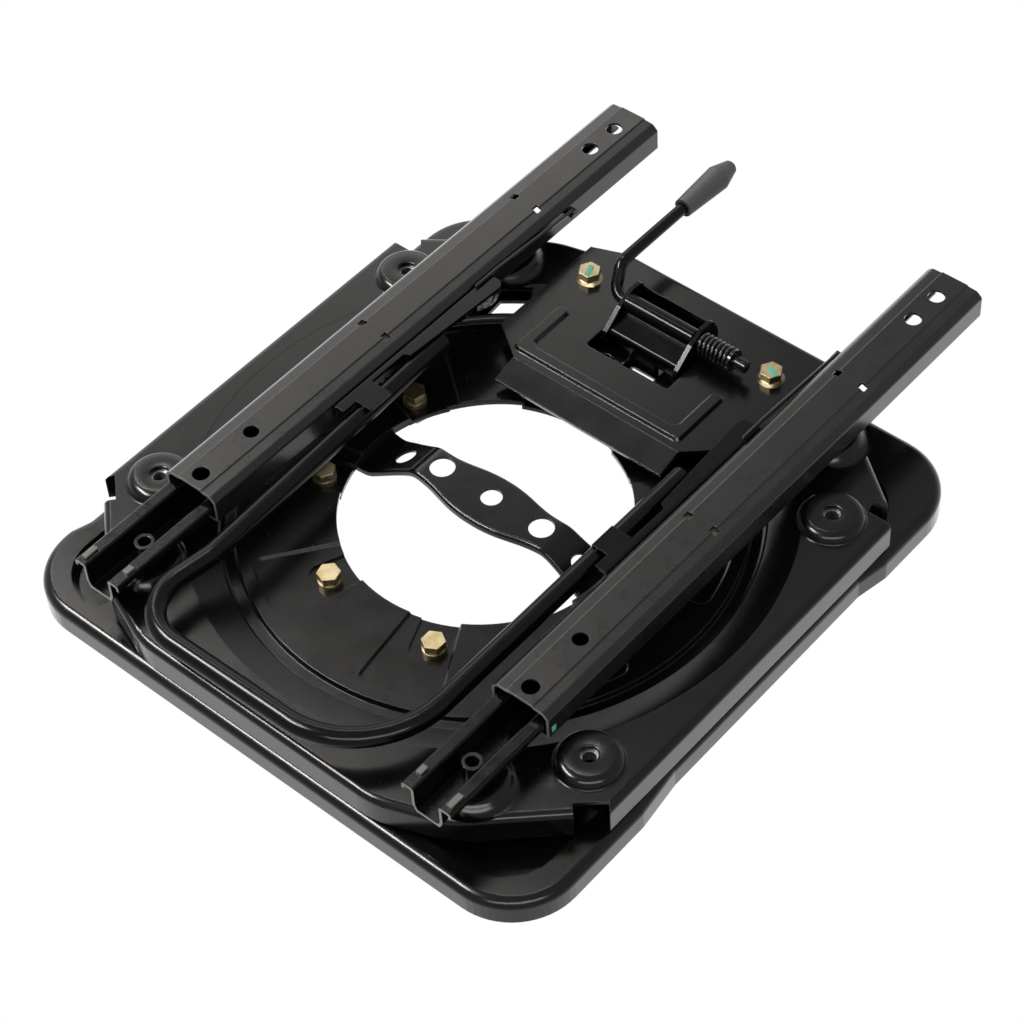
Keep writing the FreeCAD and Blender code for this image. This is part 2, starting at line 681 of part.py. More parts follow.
def make_base_plate():
    """Pressed tray with a rim, a pan, a raised round track and four fixing feet."""
    body = new_body("base_plate")
    side = s.base_half_width
    waist = side - s.waist_inset
    bend_end = s.base_half_length - s.base_corner_radius
    corners = [(i * side, j * s.base_half_length) for i in (-1, 1) for j in (-1, 1)]
    steps = [
        (side, -bend_end + s.right_lobe),
        (waist, -bend_end + s.right_lobe + s.right_step),
        (waist, bend_end - s.rear_lobe - s.rear_step),
        (side, bend_end - s.rear_lobe),
        (-side, bend_end - s.rear_lobe),
        (-waist, bend_end - s.rear_lobe - s.rear_step),
        (-waist, -bend_end + s.left_lobe + s.left_step),
        (-side, -bend_end + s.left_lobe),
    ]
    rim = new_sketch(body, "base_rim")
    outline(rim, [corners[2]] + steps[:4] + [corners[3], corners[1]] + steps[4:] + [corners[0]])
    block = pad(body, rim, s.base_height)
    cornered = round_edges(body, block, near(corners), s.base_corner_radius)
    waisted = round_edges(body, cornered, near(steps), s.waist_radius)
    edged = round_edges(body, waisted, level_at(s.base_height), s.base_edge_radius)
    hollow_below(body, edged, ZERO)

    pan_half = waist - s.rim_width
    pan_front = -s.base_half_length + s.rim_width
    pan_rear = s.base_half_length - s.rear_band
    pan_floor = s.base_height - s.pan_depth
    shell = new_sketch(body, "pan_shell", offset=s.base_height)
    rounded_box(shell, -pan_half - s.gauge, pan_half + s.gauge, pan_front - s.gauge, pan_rear + s.gauge,
                s.pan_corner_radius + s.gauge)
    pan_block = pad(body, shell, s.pan_depth + s.gauge, back=True, draft=-s.pan_draft)
    pan = new_sketch(body, "pan", offset=s.base_height)
    rounded_box(pan, -pan_half, pan_half, pan_front, pan_rear, s.pan_corner_radius)
    cut(body, pan, s.pan_depth, draft=-s.pan_draft)

    track = new_sketch(body, "track", offset=pan_floor)
    circle(track, 0, 0, s.track_radius + s.gauge)
    pad(body, track, s.track_top - pan_floor, draft=-s.pan_draft)
    below = new_sketch(body, "track_below", offset=pan_floor - s.gauge)
    circle(below, 0, 0, s.track_radius)
    cut(body, below, s.track_top - pan_floor, back=True, draft=-s.pan_draft)
    bore = new_sketch(body, "track_bore", offset=s.track_top)
    circle(bore, 0, 0, s.track_bore)
    cut(body, bore, s.track_top)

    half_spacing = s.foot_spacing / 2
    places = [(i * half_spacing, j * half_spacing) for i in (-1, 1) for j in (-1, 1)]
    feet = new_sketch(body, "feet", offset=pan_floor)
    for x, y in places:
        circle(feet, x, y, s.foot_radius)
    pad(body, feet, pan_floor, back=True, draft=-s.foot_draft)
    dimples = new_sketch(body, "dimples", offset=pan_floor)
    for x, y in places:
        circle(dimples, x, y, s.foot_radius - s.gauge / 2)
    cut(body, dimples, pan_floor - s.gauge, draft=-s.foot_draft)
    holes = new_sketch(body, "foot_holes", offset=pan_floor)
    for x, y in places:
        circle(holes, x, y, s.foot_hole_radius)
    cut(body, holes, pan_floor)

    see_through = new_sketch(body, "pan_slot", offset=s.base_height)
    inner = s.pan_slot_inner
    outer = s.pan_slot_outer
    outline(see_through, [
        (outer * cosine(s.pan_slot_start), outer * sine(s.pan_slot_start), (0, 0), outer, True),
        (outer * cosine(s.pan_slot_end), outer * sine(s.pan_slot_end)),
        (inner * cosine(s.pan_slot_inner_end), inner * sine(s.pan_slot_inner_end), (0, 0), inner, False),
        (inner * cosine(s.pan_slot_start), inner * sine(s.pan_slot_start)),
    ])
    cut(body, see_through, s.base_height)

    slot = new_sketch(body, "lock_slot", offset=s.track_top)
    box_outline(slot, latch_middle() - s.tooth_half - s.gauge / 2, latch_middle() + s.tooth_half + s.gauge / 2,
                s.slot_inner, s.slot_outer)
    first = cut(body, slot, s.track_top)
    repeat_round(body, [first], sized(4))


def latch_middle():
    """The latch hangs midway between the two ears of its bracket."""
    return (s.ear_right - s.ear_left) / 2


def dish_radius():
    return s.plate_half_width - s.dish_margin


def dish_foot():
    return s.track_radius + s.dish_reach


def seat_underside():
    """Height of the metal below the bolt seats, which the clamp ring is drawn up to."""
    return s.dish_floor - s.gauge - s.seat_depth


def bolt_spot():
    """The first of the ring bolts."""
    angle = 180 / s.bolt_count
    return s.bolt_circle * cosine(angle), s.bolt_circle * sine(angle)


def bolt_seat(sketch, inner, margin):
    """Slot along the radius of the first ring bolt, a little before it."""
    angle = 180 / s.bolt_count
    outer = s.bolt_circle + s.seat_reach + margin
    half = s.seat_half + margin
    places = [(inner, -half), (outer, -half), (outer, half), (inner, half)]
    turned = []
    for radius, beside in places:
        across = beside - s.seat_lead
        turned.append((
            radius * cosine(angle) - across * sine(angle),
            radius * sine(angle) + across * cosine(angle),
        ))
    outline(sketch, rounded(turned, s.seat_corner + margin))


def press_plate_blank(body):
    """The plate with its turned-down flange, open below."""
    rim = new_sketch(body, "plate_rim", offset=s.flange_foot)
    side = s.plate_half_width
    front = s.plate_front
    rear = s.plate_rear
    half = [
        (side - s.front_run_in, -front),
        (side - s.front_bend_in, s.front_bend_end - front),
        (side - s.front_cut_in, s.front_cut_end - front),
        (side, s.front_notch_end - front),
        (side, rear - s.rear_notch_end),
        (side - s.rear_cut_in, rear - s.rear_cut_end),
        (side - s.rear_bend_in, rear - s.rear_bend_end),
        (side - s.rear_run_in, rear),
    ]
    outline(rim, mirrored(half))
    block = pad(body, rim, s.plate_top - s.flange_foot)
    bends = [(i * x, y) for i in (-1, 1) for x, y in (half[0], half[1], half[6], half[7])]
    bent = round_edges(body, block, near(bends), s.corner_round)
    edged = round_edges(body, bent, level_at(s.plate_top), s.plate_edge_radius)
    hollow_below(body, edged, s.flange_foot)
    return half


def press_dish(body, inner):
    """Round dish with a groove near the foot of its wall."""
    opening = new_sketch(body, "dish_opening", offset=s.plate_top)
    circle(opening, 0, 0, dish_radius() + s.gauge)
    cut(body, opening, s.gauge * 2)
    floor = s.dish_floor
    groove_outer = dish_foot() - s.groove_gap
    groove_inner = groove_outer - s.groove_width
    section = new_sketch(body, "dish_section", "XZ_Plane")
    outline(section, [
        (dish_radius() + s.gauge * 2, s.plate_top),
        (dish_radius(), s.plate_top),
        (dish_foot(), floor + s.gauge / 2),
        (groove_outer + s.gauge / 2, floor),
        (groove_outer, floor - s.groove_depth),
        (groove_inner, floor - s.groove_depth),
        (groove_inner - s.gauge / 2, floor),
        (inner, floor),
        (inner, floor - s.gauge),
        (groove_inner - s.gauge, floor - s.gauge),
        (groove_inner - s.gauge / 2, floor - s.gauge - s.groove_depth),
        (groove_outer + s.gauge / 2, floor - s.gauge - s.groove_depth),
        (dish_foot() + s.gauge, floor - s.gauge / 2),
        (dish_radius() + s.gauge / 3, s.plate_top - s.gauge),
        (dish_radius() + s.gauge * 2, s.plate_top - s.gauge),
    ])
    turn(body, section, "V_Axis")


def press_bolt_recesses(body, inner):
    """Eight shallow recesses, each with a deeper seat for its bolt."""
    floor = s.dish_floor
    outer = dish_foot() - s.groove_gap - s.groove_width - s.recess_gap
    bolt = 180 / s.bolt_count
    start = bolt - s.recess_lead
    end = bolt + s.recess_trail
    margin = s.recess_margin
    under = new_sketch(body, "recess_below", offset=floor - s.gauge / 2)
    rounded_sector(under, inner, outer + margin, start - margin / 2, end + margin / 2, s.recess_corner)
    seat_under = new_sketch(body, "seat_below", offset=floor - s.gauge / 2)
    bolt_seat(seat_under, inner - s.seat_corner, margin)
    swells = [
        pad(body, under, s.recess_depth + s.gauge / 2, back=True, draft=-s.recess_draft),
        pad(body, seat_under, s.seat_depth + s.gauge / 2, back=True),
    ]
    repeat_round(body, swells, s.bolt_count)
    recess = new_sketch(body, "recess", offset=floor)
    rounded_sector(recess, inner, outer, start, end, s.recess_corner)
    seat = new_sketch(body, "bolt_seat", offset=floor)
    bolt_seat(seat, inner - s.seat_corner, ZERO)
    hole = new_sketch(body, "ring_bolt_hole", offset=floor)
    circle(hole, *bolt_spot(), s.bolt_radius + s.bolt_clearance)
    dips = [
        cut(body, recess, s.recess_depth, draft=-s.recess_draft),
        cut(body, seat, s.seat_depth),
        cut(body, hole, s.gauge * 4),
    ]
    repeat_round(body, dips, s.bolt_count)
    bore = new_sketch(body, "plate_bore", offset=floor + s.gauge)
    circle(bore, -s.opening_left, -s.opening_front, s.opening_radius)
    cut(body, bore, s.gauge * 4)


def press_bosses(body):
    """Raised seat bosses, and round pads below the rails."""
    inset = s.gauge / 2
    boss_half = s.plate_half_width - s.boss_inset
    rises = new_sketch(body, "bosses", offset=s.plate_top)
    hollows = new_sketch(body, "bosses_below", offset=s.plate_top - s.gauge)
    holes = new_sketch(body, "boss_holes", offset=s.plate_top + s.boss_rise)
    for i in (-1, 1):
        for j in (-1, 1):
            boss = (i * boss_half, j * s.boss_half_y)
            rail = (i * s.rail_half, j * s.fixing_back)
            circle(rises, *boss, s.boss_radius)
            circle(rises, *rail, s.pad_radius)
            circle(hollows, *boss, s.boss_radius - inset)
            circle(hollows, *rail, s.pad_radius - inset)
            circle(holes, *boss, s.boss_hole_radius)
            circle(holes, *rail, s.rivet_radius + s.glide_gap)
    pad(body, rises, s.boss_rise, draft=-s.foot_draft)
    cut(body, hollows, s.boss_rise, back=True, draft=-s.foot_draft)
    cut(body, holes, s.gauge * 3)


def cut_corner_notches(body, half):
    """Relief notches where the turned-down sides end."""
    notches = new_sketch(body, "corner_notches", offset=s.plate_top)
    inner = s.plate_half_width - s.notch_depth
    outer = s.plate_half_width + s.gauge
    front_cut, front_end, rear_end, rear_cut = half[2:6]
    run, rise = direction(front_cut, front_end)
    past = s.gauge / 3

    def notch_corner(end, beyond, depth):
        return end[0] + beyond * run - depth * rise, end[1] + beyond * rise + depth * run

    front_notch = [
        notch_corner(front_cut, ZERO, -s.gauge),
        notch_corner(front_end, past, -s.gauge),
        notch_corner(front_end, past, s.front_notch_depth),
        notch_corner(front_cut, ZERO, s.front_notch_depth),
    ]
    for i in (-1, 1):
        outline(notches, [(i * x, y) for x, y in front_notch])
        outline(notches, [
            (i * inner, rear_end[1] - s.gauge / 3),
            (i * outer, rear_end[1] - s.gauge / 3),
            (i * outer, rear_end[1] + s.notch_length),
            (i * (rear_cut[0] + s.gauge / 3), rear_cut[1] - s.gauge / 6),
            (i * (inner - s.gauge / 2), rear_end[1] + s.notch_length / 2),
        ])
    cut(body, notches, s.plate_top - s.flange_foot)


def make_swivel_plate():
    """Pressed plate with a turned-down flange, a round dish, bolt recesses, bosses and rail pads."""
    body = new_body("swivel_plate")
    inner = s.opening_radius - s.opening_left - s.opening_front
    half = press_plate_blank(body)
    press_dish(body, inner)
    press_bolt_recesses(body, inner)
    press_bosses(body)
    cut_corner_notches(body, half)
    through = s.plate_top - s.flange_foot
    arc = new_sketch(body, "see_through_slot", offset=s.plate_top)
    sector(arc, dish_foot() + s.wall_slot_lower, dish_radius() - s.wall_slot_upper,
           s.wall_slot_start, s.wall_slot_end)
    cut(body, arc, through)
    window = new_sketch(body, "latch_window", offset=s.plate_top)
    reach = s.tooth_half + s.gauge
    box_outline(window, latch_middle() - reach, latch_middle() + reach,
                s.latch_knee_back - s.gauge * 4, s.slot_outer + s.gauge / 3)
    cut(body, window, through)
    holes = new_sketch(body, "panel_fixing_holes", offset=s.plate_top)
    for i in (-1, 1):
        circle(holes, i * s.panel_bolt_half, s.panel_bolt_back, s.bolt_radius + s.bolt_clearance)
    circle(holes, s.panel_rivet_right, s.panel_rivet_back, s.panel_rivet_radius + s.pivot_play)
    cut(body, holes, through)


def revolved(name, corners):
    """A ring from its section, with x as the distance from the vertical axis."""
    body = new_body(name)
    section = new_sketch(body, f"{name}_section", "XZ_Plane")
    outline(section, corners)
    turn(body, section, "V_Axis")
    return body


def make_clamp_ring():
    """Pressed ring: hub under the dish, wall down through the base, flange below the track."""
    hub_top = seat_underside()
    hub_foot = hub_top - s.gauge
    body = revolved("clamp_ring", [
        (s.ring_inner, hub_foot),
        (s.ring_wall - s.gauge, hub_foot),
        (s.ring_wall - s.gauge, s.ring_flange_top - s.gauge),
        (s.ring_outer, s.ring_flange_top - s.gauge),
        (s.ring_outer, s.ring_flange_top),
        (s.ring_wall, s.ring_flange_top),
        (s.ring_wall, hub_top),
        (s.ring_inner, hub_top),
    ])
    hole = new_sketch(body, "clamp_hole", offset=hub_top)
    circle(hole, *bolt_spot(), s.bolt_radius + s.bolt_clearance)
    repeat_round(body, [cut(body, hole, s.gauge * 2)], s.bolt_count)


def make_glide_rings():
    """Nylon rings above and below the track; the upper one has a lip that centres the turn."""
    lip = s.ring_wall + s.glide_play
    under_dish = s.dish_floor - s.gauge - s.recess_depth
    revolved("upper_slide_ring", [
        (lip, s.track_top - s.gauge),
        (s.track_bore, s.track_top - s.gauge),
        (s.track_bore, s.track_top),
        (s.glide_outer, s.track_top),
        (s.glide_outer, under_dish - s.glide_gap),
        (lip, under_dish - s.glide_gap),
    ])
    revolved("lower_slide_ring", [
        (lip, s.ring_flange_top + s.glide_gap),
        (s.glide_outer, s.ring_flange_top + s.glide_gap),
        (s.glide_outer, s.track_top - s.gauge),
        (lip, s.track_top - s.gauge),
    ])


def make_ring_fasteners():
    """Hexagon screws with their washers in the bolt seats, and nuts below the clamp ring."""
    seat = s.dish_floor - s.seat_depth
    washers = new_body("ring_washers")
    washer = new_sketch(washers, "ring_washer", offset=seat)
    circle(washer, *bolt_spot(), s.bolt_washer_radius)
    circle(washer, *bolt_spot(), s.bolt_radius + s.pivot_play)
    neck = new_sketch(washers, "washer_neck", offset=seat)
    circle(neck, *bolt_spot(), s.bolt_washer_radius - s.washer_split * 2)
    circle(neck, *bolt_spot(), s.bolt_radius + s.pivot_play)
    repeat_round(washers, [
        pad(washers, washer, s.bolt_washer - s.washer_split),
        pad(washers, neck, s.bolt_washer),
    ], s.bolt_count)
    bolts = new_body("ring_bolts")
    head = new_sketch(bolts, "ring_bolt_head", offset=seat + s.bolt_washer)
    hexagon(head, *bolt_spot(), s.hex_flats)
    shank = new_sketch(bolts, "ring_bolt_shank", offset=seat + s.bolt_washer)
    circle(shank, *bolt_spot(), s.bolt_radius)
    repeat_round(bolts, [
        pad(bolts, head, s.head_height),
        pad(bolts, shank, s.ring_bolt_length, back=True),
    ], s.bolt_count)
    nuts = new_body("ring_nuts")
    nut = new_sketch(nuts, "ring_nut", offset=seat_underside() - s.gauge)
    hexagon(nut, *bolt_spot(), s.hex_flats)
    circle(nut, *bolt_spot(), s.bolt_radius + s.pivot_play)
    repeat_round(nuts, [pad(nuts, nut, s.nut_height, back=True)], s.bolt_count)


def folded(name, plane, points, gauge, low, high):
    """Sheet with a constant section, from low to high along the plane's normal."""
    body = new_body(name)
    section = new_sketch(body, f"{name}_section", plane, offset=low)
    outline(section, points + ribbon(points, gauge)[::-1])
    return body, pad(body, section, high - low)


def bend_edges(body, base, axis, places, radius):
    """Fillet the edges along an axis that pass through the listed section points."""
    document.recompute()

    def wanted(edge):
        if not along(axis)(edge):
            return False
        centre = edge.BoundBox.Center
        spot = (centre.y, centre.z) if axis == "X" else (centre.x, centre.z)
        return any(math.dist(spot, (sized(x).value, sized(y).value)) < 0.05 for x, y in places)

    return round_edges(body, base, wanted, radius)


def make_strap():
    """Strap across the opening, hung from the clamp ring at both ends."""
    foot = seat_underside() - s.gauge
    half = [
        (s.strap_flat_half, s.strap_top),
        (s.strap_foot, foot),
        (s.strap_end, foot),
    ]
    points = [(-x, y) for x, y in reversed(half)] + half
    body, blank = folded("opening_strap", "XZ_Plane", points, s.strap_gauge, -s.strap_tail, s.strap_tail)
    under = ribbon(points, s.strap_gauge)
    softened = bend_edges(body, blank, "Y", points[1:5], s.strap_gauge)
    bend_edges(body, softened, "Y", under[1:5], s.strap_gauge)
    trim = new_sketch(body, "strap_outline", offset=s.strap_top + s.strap_gauge)
    box_outline(trim, -s.strap_end * 2, s.strap_end * 2, -s.strap_tail * 2, s.strap_tail * 2)
    edge = [
        (s.strap_side_hole / 4, s.strap_half_width),
        (s.strap_side_hole / 2, s.strap_neck),
        (s.strap_side_hole, s.strap_shoulder),
        (s.strap_flat_half, s.strap_neck),
        (s.strap_slope_hole, s.strap_shoulder),
        (s.strap_foot, s.strap_tail),
        (s.strap_end, s.strap_tail),
    ]
    right = [(x, -y) for x, y in edge] + edge[::-1]
    outline(trim, rounded(right + [(-x, -y) for x, y in right], s.strap_round))
    cut(body, trim, s.strap_top)
    holes = new_sketch(body, "strap_holes", offset=s.strap_top)
    circle(holes, 0, 0, s.strap_hole_radius)
    for i in (-1, 1):
        circle(holes, i * s.strap_side_hole, 0, s.strap_side_hole_radius)
        circle(holes, i * s.strap_slope_hole, 0, s.strap_slope_hole_radius)
    cut(body, holes, s.strap_top)


def make_boss_nuts():
    """Weld nuts below the four seat bosses."""
    body = new_body("boss_weld_nuts")
    nuts = new_sketch(body, "boss_nut", offset=s.plate_top + s.boss_rise - s.gauge)
    boss_half = s.plate_half_width - s.boss_inset
    for i in (-1, 1):
        for j in (-1, 1):
            hexagon(nuts, i * boss_half, j * s.boss_half_y, s.boss_nut_flats)
            circle(nuts, i * boss_half, j * s.boss_half_y, s.boss_thread_radius)
    pad(body, nuts, s.boss_nut_height, back=True)


def make_lock_panel():
    """Panel across the rear of the swivel plate, with a bead, a window and turned edges."""
    top = s.plate_top + s.panel_gauge
    points = [
        (s.panel_front, top - s.panel_lip_drop),
        (s.panel_bend, top),
        (s.panel_rear, top),
        (s.panel_rear, top - s.panel_rear_drop),
    ]
    body, blank = folded("lock_panel", "YZ_Plane", points, s.panel_gauge, -s.panel_half, s.panel_half)
    under = ribbon(points, s.panel_gauge)
    outer = bend_edges(body, blank, "X", points[1:3], s.panel_fold)
    bend_edges(body, outer, "X", under[2:3], s.panel_gauge / 2)
    trim = new_sketch(body, "panel_outline", offset=top + s.panel_gauge)
    box_outline(trim, -s.panel_half * 2, s.panel_half * 2, ZERO, s.panel_rear * 2)
    outline(trim, [
        (s.panel_front_half, s.panel_front / 2),
        (s.panel_front_half, s.panel_bend),
        (s.panel_half, s.panel_shoulder),
        (s.panel_half, s.panel_rear + s.panel_gauge),
        (s.panel_cut_in - s.panel_left, s.panel_rear + s.panel_gauge),
        (s.panel_cut_in - s.panel_left, s.panel_rear),
        (-s.panel_left, s.panel_rear - s.panel_cut_back),
        (-s.panel_left, s.panel_left_shoulder),
        (-s.panel_front_half, s.panel_bend),
        (-s.panel_front_half, s.panel_front / 2),
    ])
    cut(body, trim, top)

    def bead_outline(name, height, half):
        sketch = new_sketch(body, name, offset=height)
        left = -s.bead_left
        outline(sketch, rounded([
            (left - half, s.bead_rear),
            (left - half, s.bead_front - half),
            (s.bead_right + half, s.bead_front - half),
            (s.bead_right + half, s.bead_rear),
            (s.bead_right - half, s.bead_rear),
            (s.bead_right - half, s.bead_front + half),
            (left + half, s.bead_front + half),
            (left + half, s.bead_rear),
        ], s.bead_corner))
        return sketch

    pad(body, bead_outline("bead", top, s.bead_half), s.bead_rise, draft=-s.foot_draft)
    cut(body, bead_outline("bead_below", s.plate_top, s.bead_half), s.bead_rise, back=True,
        draft=-s.foot_draft)
    window = new_sketch(body, "panel_window", offset=top)
    rounded_box(window, -s.window_left, s.window_right, s.window_front, s.window_rear, s.panel_gauge)
    for i in (-1, 1):
        circle(window, i * s.panel_bolt_half, s.panel_bolt_back, s.bolt_radius + s.bolt_clearance)
    circle(window, s.panel_rivet_right, s.panel_rivet_back, s.panel_rivet_radius + s.pivot_play)
    cut(body, window, s.panel_gauge * 2)


def make_panel_rivet():
    """Small rivet through panel and plate."""
    body = new_body("panel_rivet")
    spot = (s.panel_rivet_right, s.panel_rivet_back)
    head = new_sketch(body, "rivet_head", offset=s.plate_top + s.panel_gauge)
    circle(head, *spot, s.panel_rivet_head)
    domed = pad(body, head, s.panel_rivet_rise)
    round_edges(body, domed, level_at(s.plate_top + s.panel_gauge + s.panel_rivet_rise), s.panel_rivet_rise / 2)
    shank = new_sketch(body, "rivet_stem", offset=s.plate_top + s.panel_gauge)
    circle(shank, *spot, s.panel_rivet_radius)
    pad(body, shank, s.panel_gauge + s.gauge, back=True)


def make_panel_fasteners():
    """Flange screws through panel and plate, with nuts below."""
    top = s.plate_top + s.panel_gauge
    bolts = new_body("lock_panel_bolts")
    nuts = new_body("lock_panel_nuts")
    head = new_sketch(bolts, "flange_head", offset=top)
    flange = new_sketch(bolts, "head_flange", offset=top)
    shank = new_sketch(bolts, "flange_shank", offset=top)
    nut = new_sketch(nuts, "panel_nut", offset=s.plate_top - s.gauge)
    for i in (-1, 1):
        spot = (i * s.panel_bolt_half, s.panel_bolt_back)
        hexagon(head, *spot, s.hex_flats)
        circle(flange, *spot, s.flange_head_radius)
        circle(shank, *spot, s.bolt_radius)
        hexagon(nut, *spot, s.hex_flats)
        circle(nut, *spot, s.bolt_radius + s.pivot_play)
    pad(bolts, flange, s.flange_head_height - s.head_height, draft=-s.foot_draft)
    pad(bolts, head, s.flange_head_height)
    pad(bolts, shank, s.panel_bolt_length, back=True)
    pad(nuts, nut, s.nut_height, back=True)


def make_bracket():
    """Two ears joined by a rear web, with feet welded below the panel."""
    body = new_body("lock_bracket")
    top = s.plate_top + s.panel_gauge
    foot = s.plate_top - s.ear_gauge
    foot_end = dish_radius() - s.foot_margin
    side = new_sketch(body, "ear_side", "YZ_Plane", offset=-s.ear_left)
    outline(side, [
        (s.ear_front, foot),
        (foot_end, foot),
        (foot_end, top),
        (s.ear_rear, top),
        (s.ear_rear, s.pivot_height - s.ear_gauge),
        (s.ear_rear - s.ear_slope, s.ear_top - s.ear_gauge / 3),
        (s.pivot_back + s.pivot_radius, s.ear_top),
        (s.pivot_back - s.pivot_radius * 2, s.pivot_height + s.pivot_radius / 2),
        (s.ear_front + s.ear_gauge / 2, s.ear_shoulder),
        (s.ear_front, top),
    ])
    block = pad(body, side, s.ear_left + s.ear_right)
    softened = round_edges(
        body, block,
        lambda edge: along("X")(edge) and edge.BoundBox.ZMin > s.pivot_height.value - s.ear_gauge.value - 1,
        s.ear_gauge,
    )
    inside = new_sketch(body, "between_ears", offset=s.ear_top + s.ear_gauge)
    box_outline(inside, -s.ear_left + s.ear_gauge, s.ear_right - s.ear_gauge,
                s.ear_front - s.ear_gauge, s.ear_rear - s.ear_gauge)
    cut(body, inside, s.ear_top + s.ear_gauge)
    web = new_sketch(body, "web_top", "XZ_Plane", offset=-s.ear_rear - s.ear_gauge)
    box_outline(web, -s.ear_left + s.ear_gauge, s.ear_right - s.ear_gauge,
                s.pivot_height + s.pivot_radius / 2, s.ear_top * 2)
    cut(body, web, s.ear_gauge * 4, back=True)
    feet = new_sketch(body, "bracket_feet", offset=foot)
    box_outline(feet, -s.ear_left - s.foot_reach, -s.ear_left + s.ear_gauge, s.ear_front, foot_end)
    box_outline(feet, s.ear_right - s.ear_gauge, s.ear_right + s.foot_reach, s.ear_front, foot_end)
    pad(body, feet, s.ear_gauge)
    bore = new_sketch(body, "pivot_bore", "YZ_Plane", offset=-s.ear_left - s.ear_gauge)
    circle(bore, s.pivot_back, s.pivot_height, s.pivot_radius + s.pivot_play)
    cut(body, bore, s.ear_left + s.ear_right + s.ear_gauge * 2, back=True)


def make_latch():
    """Folded latch: eye on the rod, sloping face and a tooth that drops into the base."""
    body = new_body("lock_latch")
    left = -s.ear_left + s.ear_gauge + s.latch_play
    right = s.ear_right - s.ear_gauge - s.latch_play
    half = s.latch_gauge / 2
    eye = new_sketch(body, "latch_eye", "YZ_Plane", offset=left)
    circle(eye, s.pivot_back, s.pivot_height, s.latch_hub_radius)
    pad(body, eye, right - left)
    face = new_sketch(body, "latch_face", "YZ_Plane", offset=left)
    hub = (s.pivot_back, s.pivot_height - s.latch_hub_radius + s.latch_gauge)
    knee = (s.latch_knee_back - half, s.latch_knee_height)
    shin = (s.latch_knee_back - half, s.latch_knee_height - s.latch_gauge * 2)
    front = [shin, knee, hub]
    rear = ribbon(front, s.latch_gauge)
    outline(face, front + rear[::-1])
    folded_face = pad(body, face, right - left)
    outer = bend_edges(body, folded_face, "X", [knee], s.latch_gauge)
    bend_edges(body, outer, "X", rear[1:2], s.latch_gauge / 2)
    tooth = new_sketch(body, "latch_tooth", "YZ_Plane", offset=latch_middle() - s.tooth_half)
    tip = s.track_top + s.tooth_rest_gap
    outline(tooth, [
        (s.latch_knee_back - half + s.tooth_taper, tip),
        (s.latch_knee_back + half, tip),
        (s.latch_knee_back + half, shin[1] + half),
        (s.latch_knee_back - half, shin[1] + half),
        (s.latch_knee_back - half, tip + s.tooth_taper_rise),
    ])
    pad(body, tooth, s.tooth_half * 2)
    bore = new_sketch(body, "latch_bore", "YZ_Plane", offset=left - s.latch_gauge)
    circle(bore, s.pivot_back, s.pivot_height, s.pivot_radius + s.pivot_play)
    cut(body, bore, right - left + s.latch_gauge * 2, back=True)


def bent_rod(name, points, bends, radius):
    """Round bar along points in space, with a bend radius for each corner."""
    corners = [FreeCAD.Vector(*(sized(part).value for part in point)) for point in points]
    edges = []
    start = corners[0]
    for before, corner, after, bend in zip(corners, corners[1:], corners[2:], bends):
        inward = (before - corner).normalize()
        outward = (after - corner).normalize()
        half_angle = inward.getAngle(outward) / 2
        reach = bend.value / math.tan(half_angle)
        middle = corner + (inward + outward).normalize() * (bend.value / math.sin(half_angle) - bend.value)
        edges.append(Part.LineSegment(start, corner + inward * reach).toShape())
        edges.append(Part.Arc(corner + inward * reach, middle, corner + outward * reach).toShape())
        start = corner + outward * reach
    edges.append(Part.LineSegment(start, corners[-1]).toShape())
    profile = Part.Wire([Part.makeCircle(radius.value, corners[0], corners[1] - corners[0])])
    part = document.addObject("Part::Feature", name)
    part.Shape = Part.Wire(edges).makePipeShell([profile], True, False)
    bodies.append(part)


def make_lock_lever():
    bent_rod("lock_lever", [
        (s.rod_tip, s.pivot_back, s.pivot_height),
        (-s.crank_start, s.pivot_back, s.pivot_height),
        (-s.crank_out, s.pivot_back + s.crank_back, s.pivot_height + s.crank_rise),
        (-s.crank_out, s.arm_end, s.pivot_height + s.crank_rise),
    ], [s.crank_bend, s.crank_bend], s.pivot_radius)


def place(part, base, axis, angle):
    """Stand a part at its place, turned about an axis."""
    part.Placement = FreeCAD.Placement(FreeCAD.Vector(), FreeCAD.Rotation(FreeCAD.Vector(*axis), angle))
    for letter, size in zip("xyz", base):
        set_size(part, f"Placement.Base.{letter}", size)


def make_grip():
    """Rubber grip pushed on the lever arm."""
    body = new_body("lever_grip")
    length = s.grip_end - s.grip_start
    belly = s.grip_belly - s.grip_start
    section = new_sketch(body, "grip_section", "XZ_Plane")
    outline(section, [
        (s.pivot_radius, ZERO),
        (s.grip_neck_radius, ZERO),
        (s.grip_belly_radius, belly),
        (s.grip_tip_radius, length - s.grip_edge),
        (s.grip_tip_radius - s.grip_edge, length),
        (ZERO, length),
        (ZERO, s.grip_bottom - s.grip_start),
        (s.pivot_radius, s.grip_bottom - s.grip_start),
    ])
    turn(body, section, "V_Axis")
    place(body, (-s.crank_out, s.grip_start, s.pivot_height + s.crank_rise), (1, 0, 0), -90)


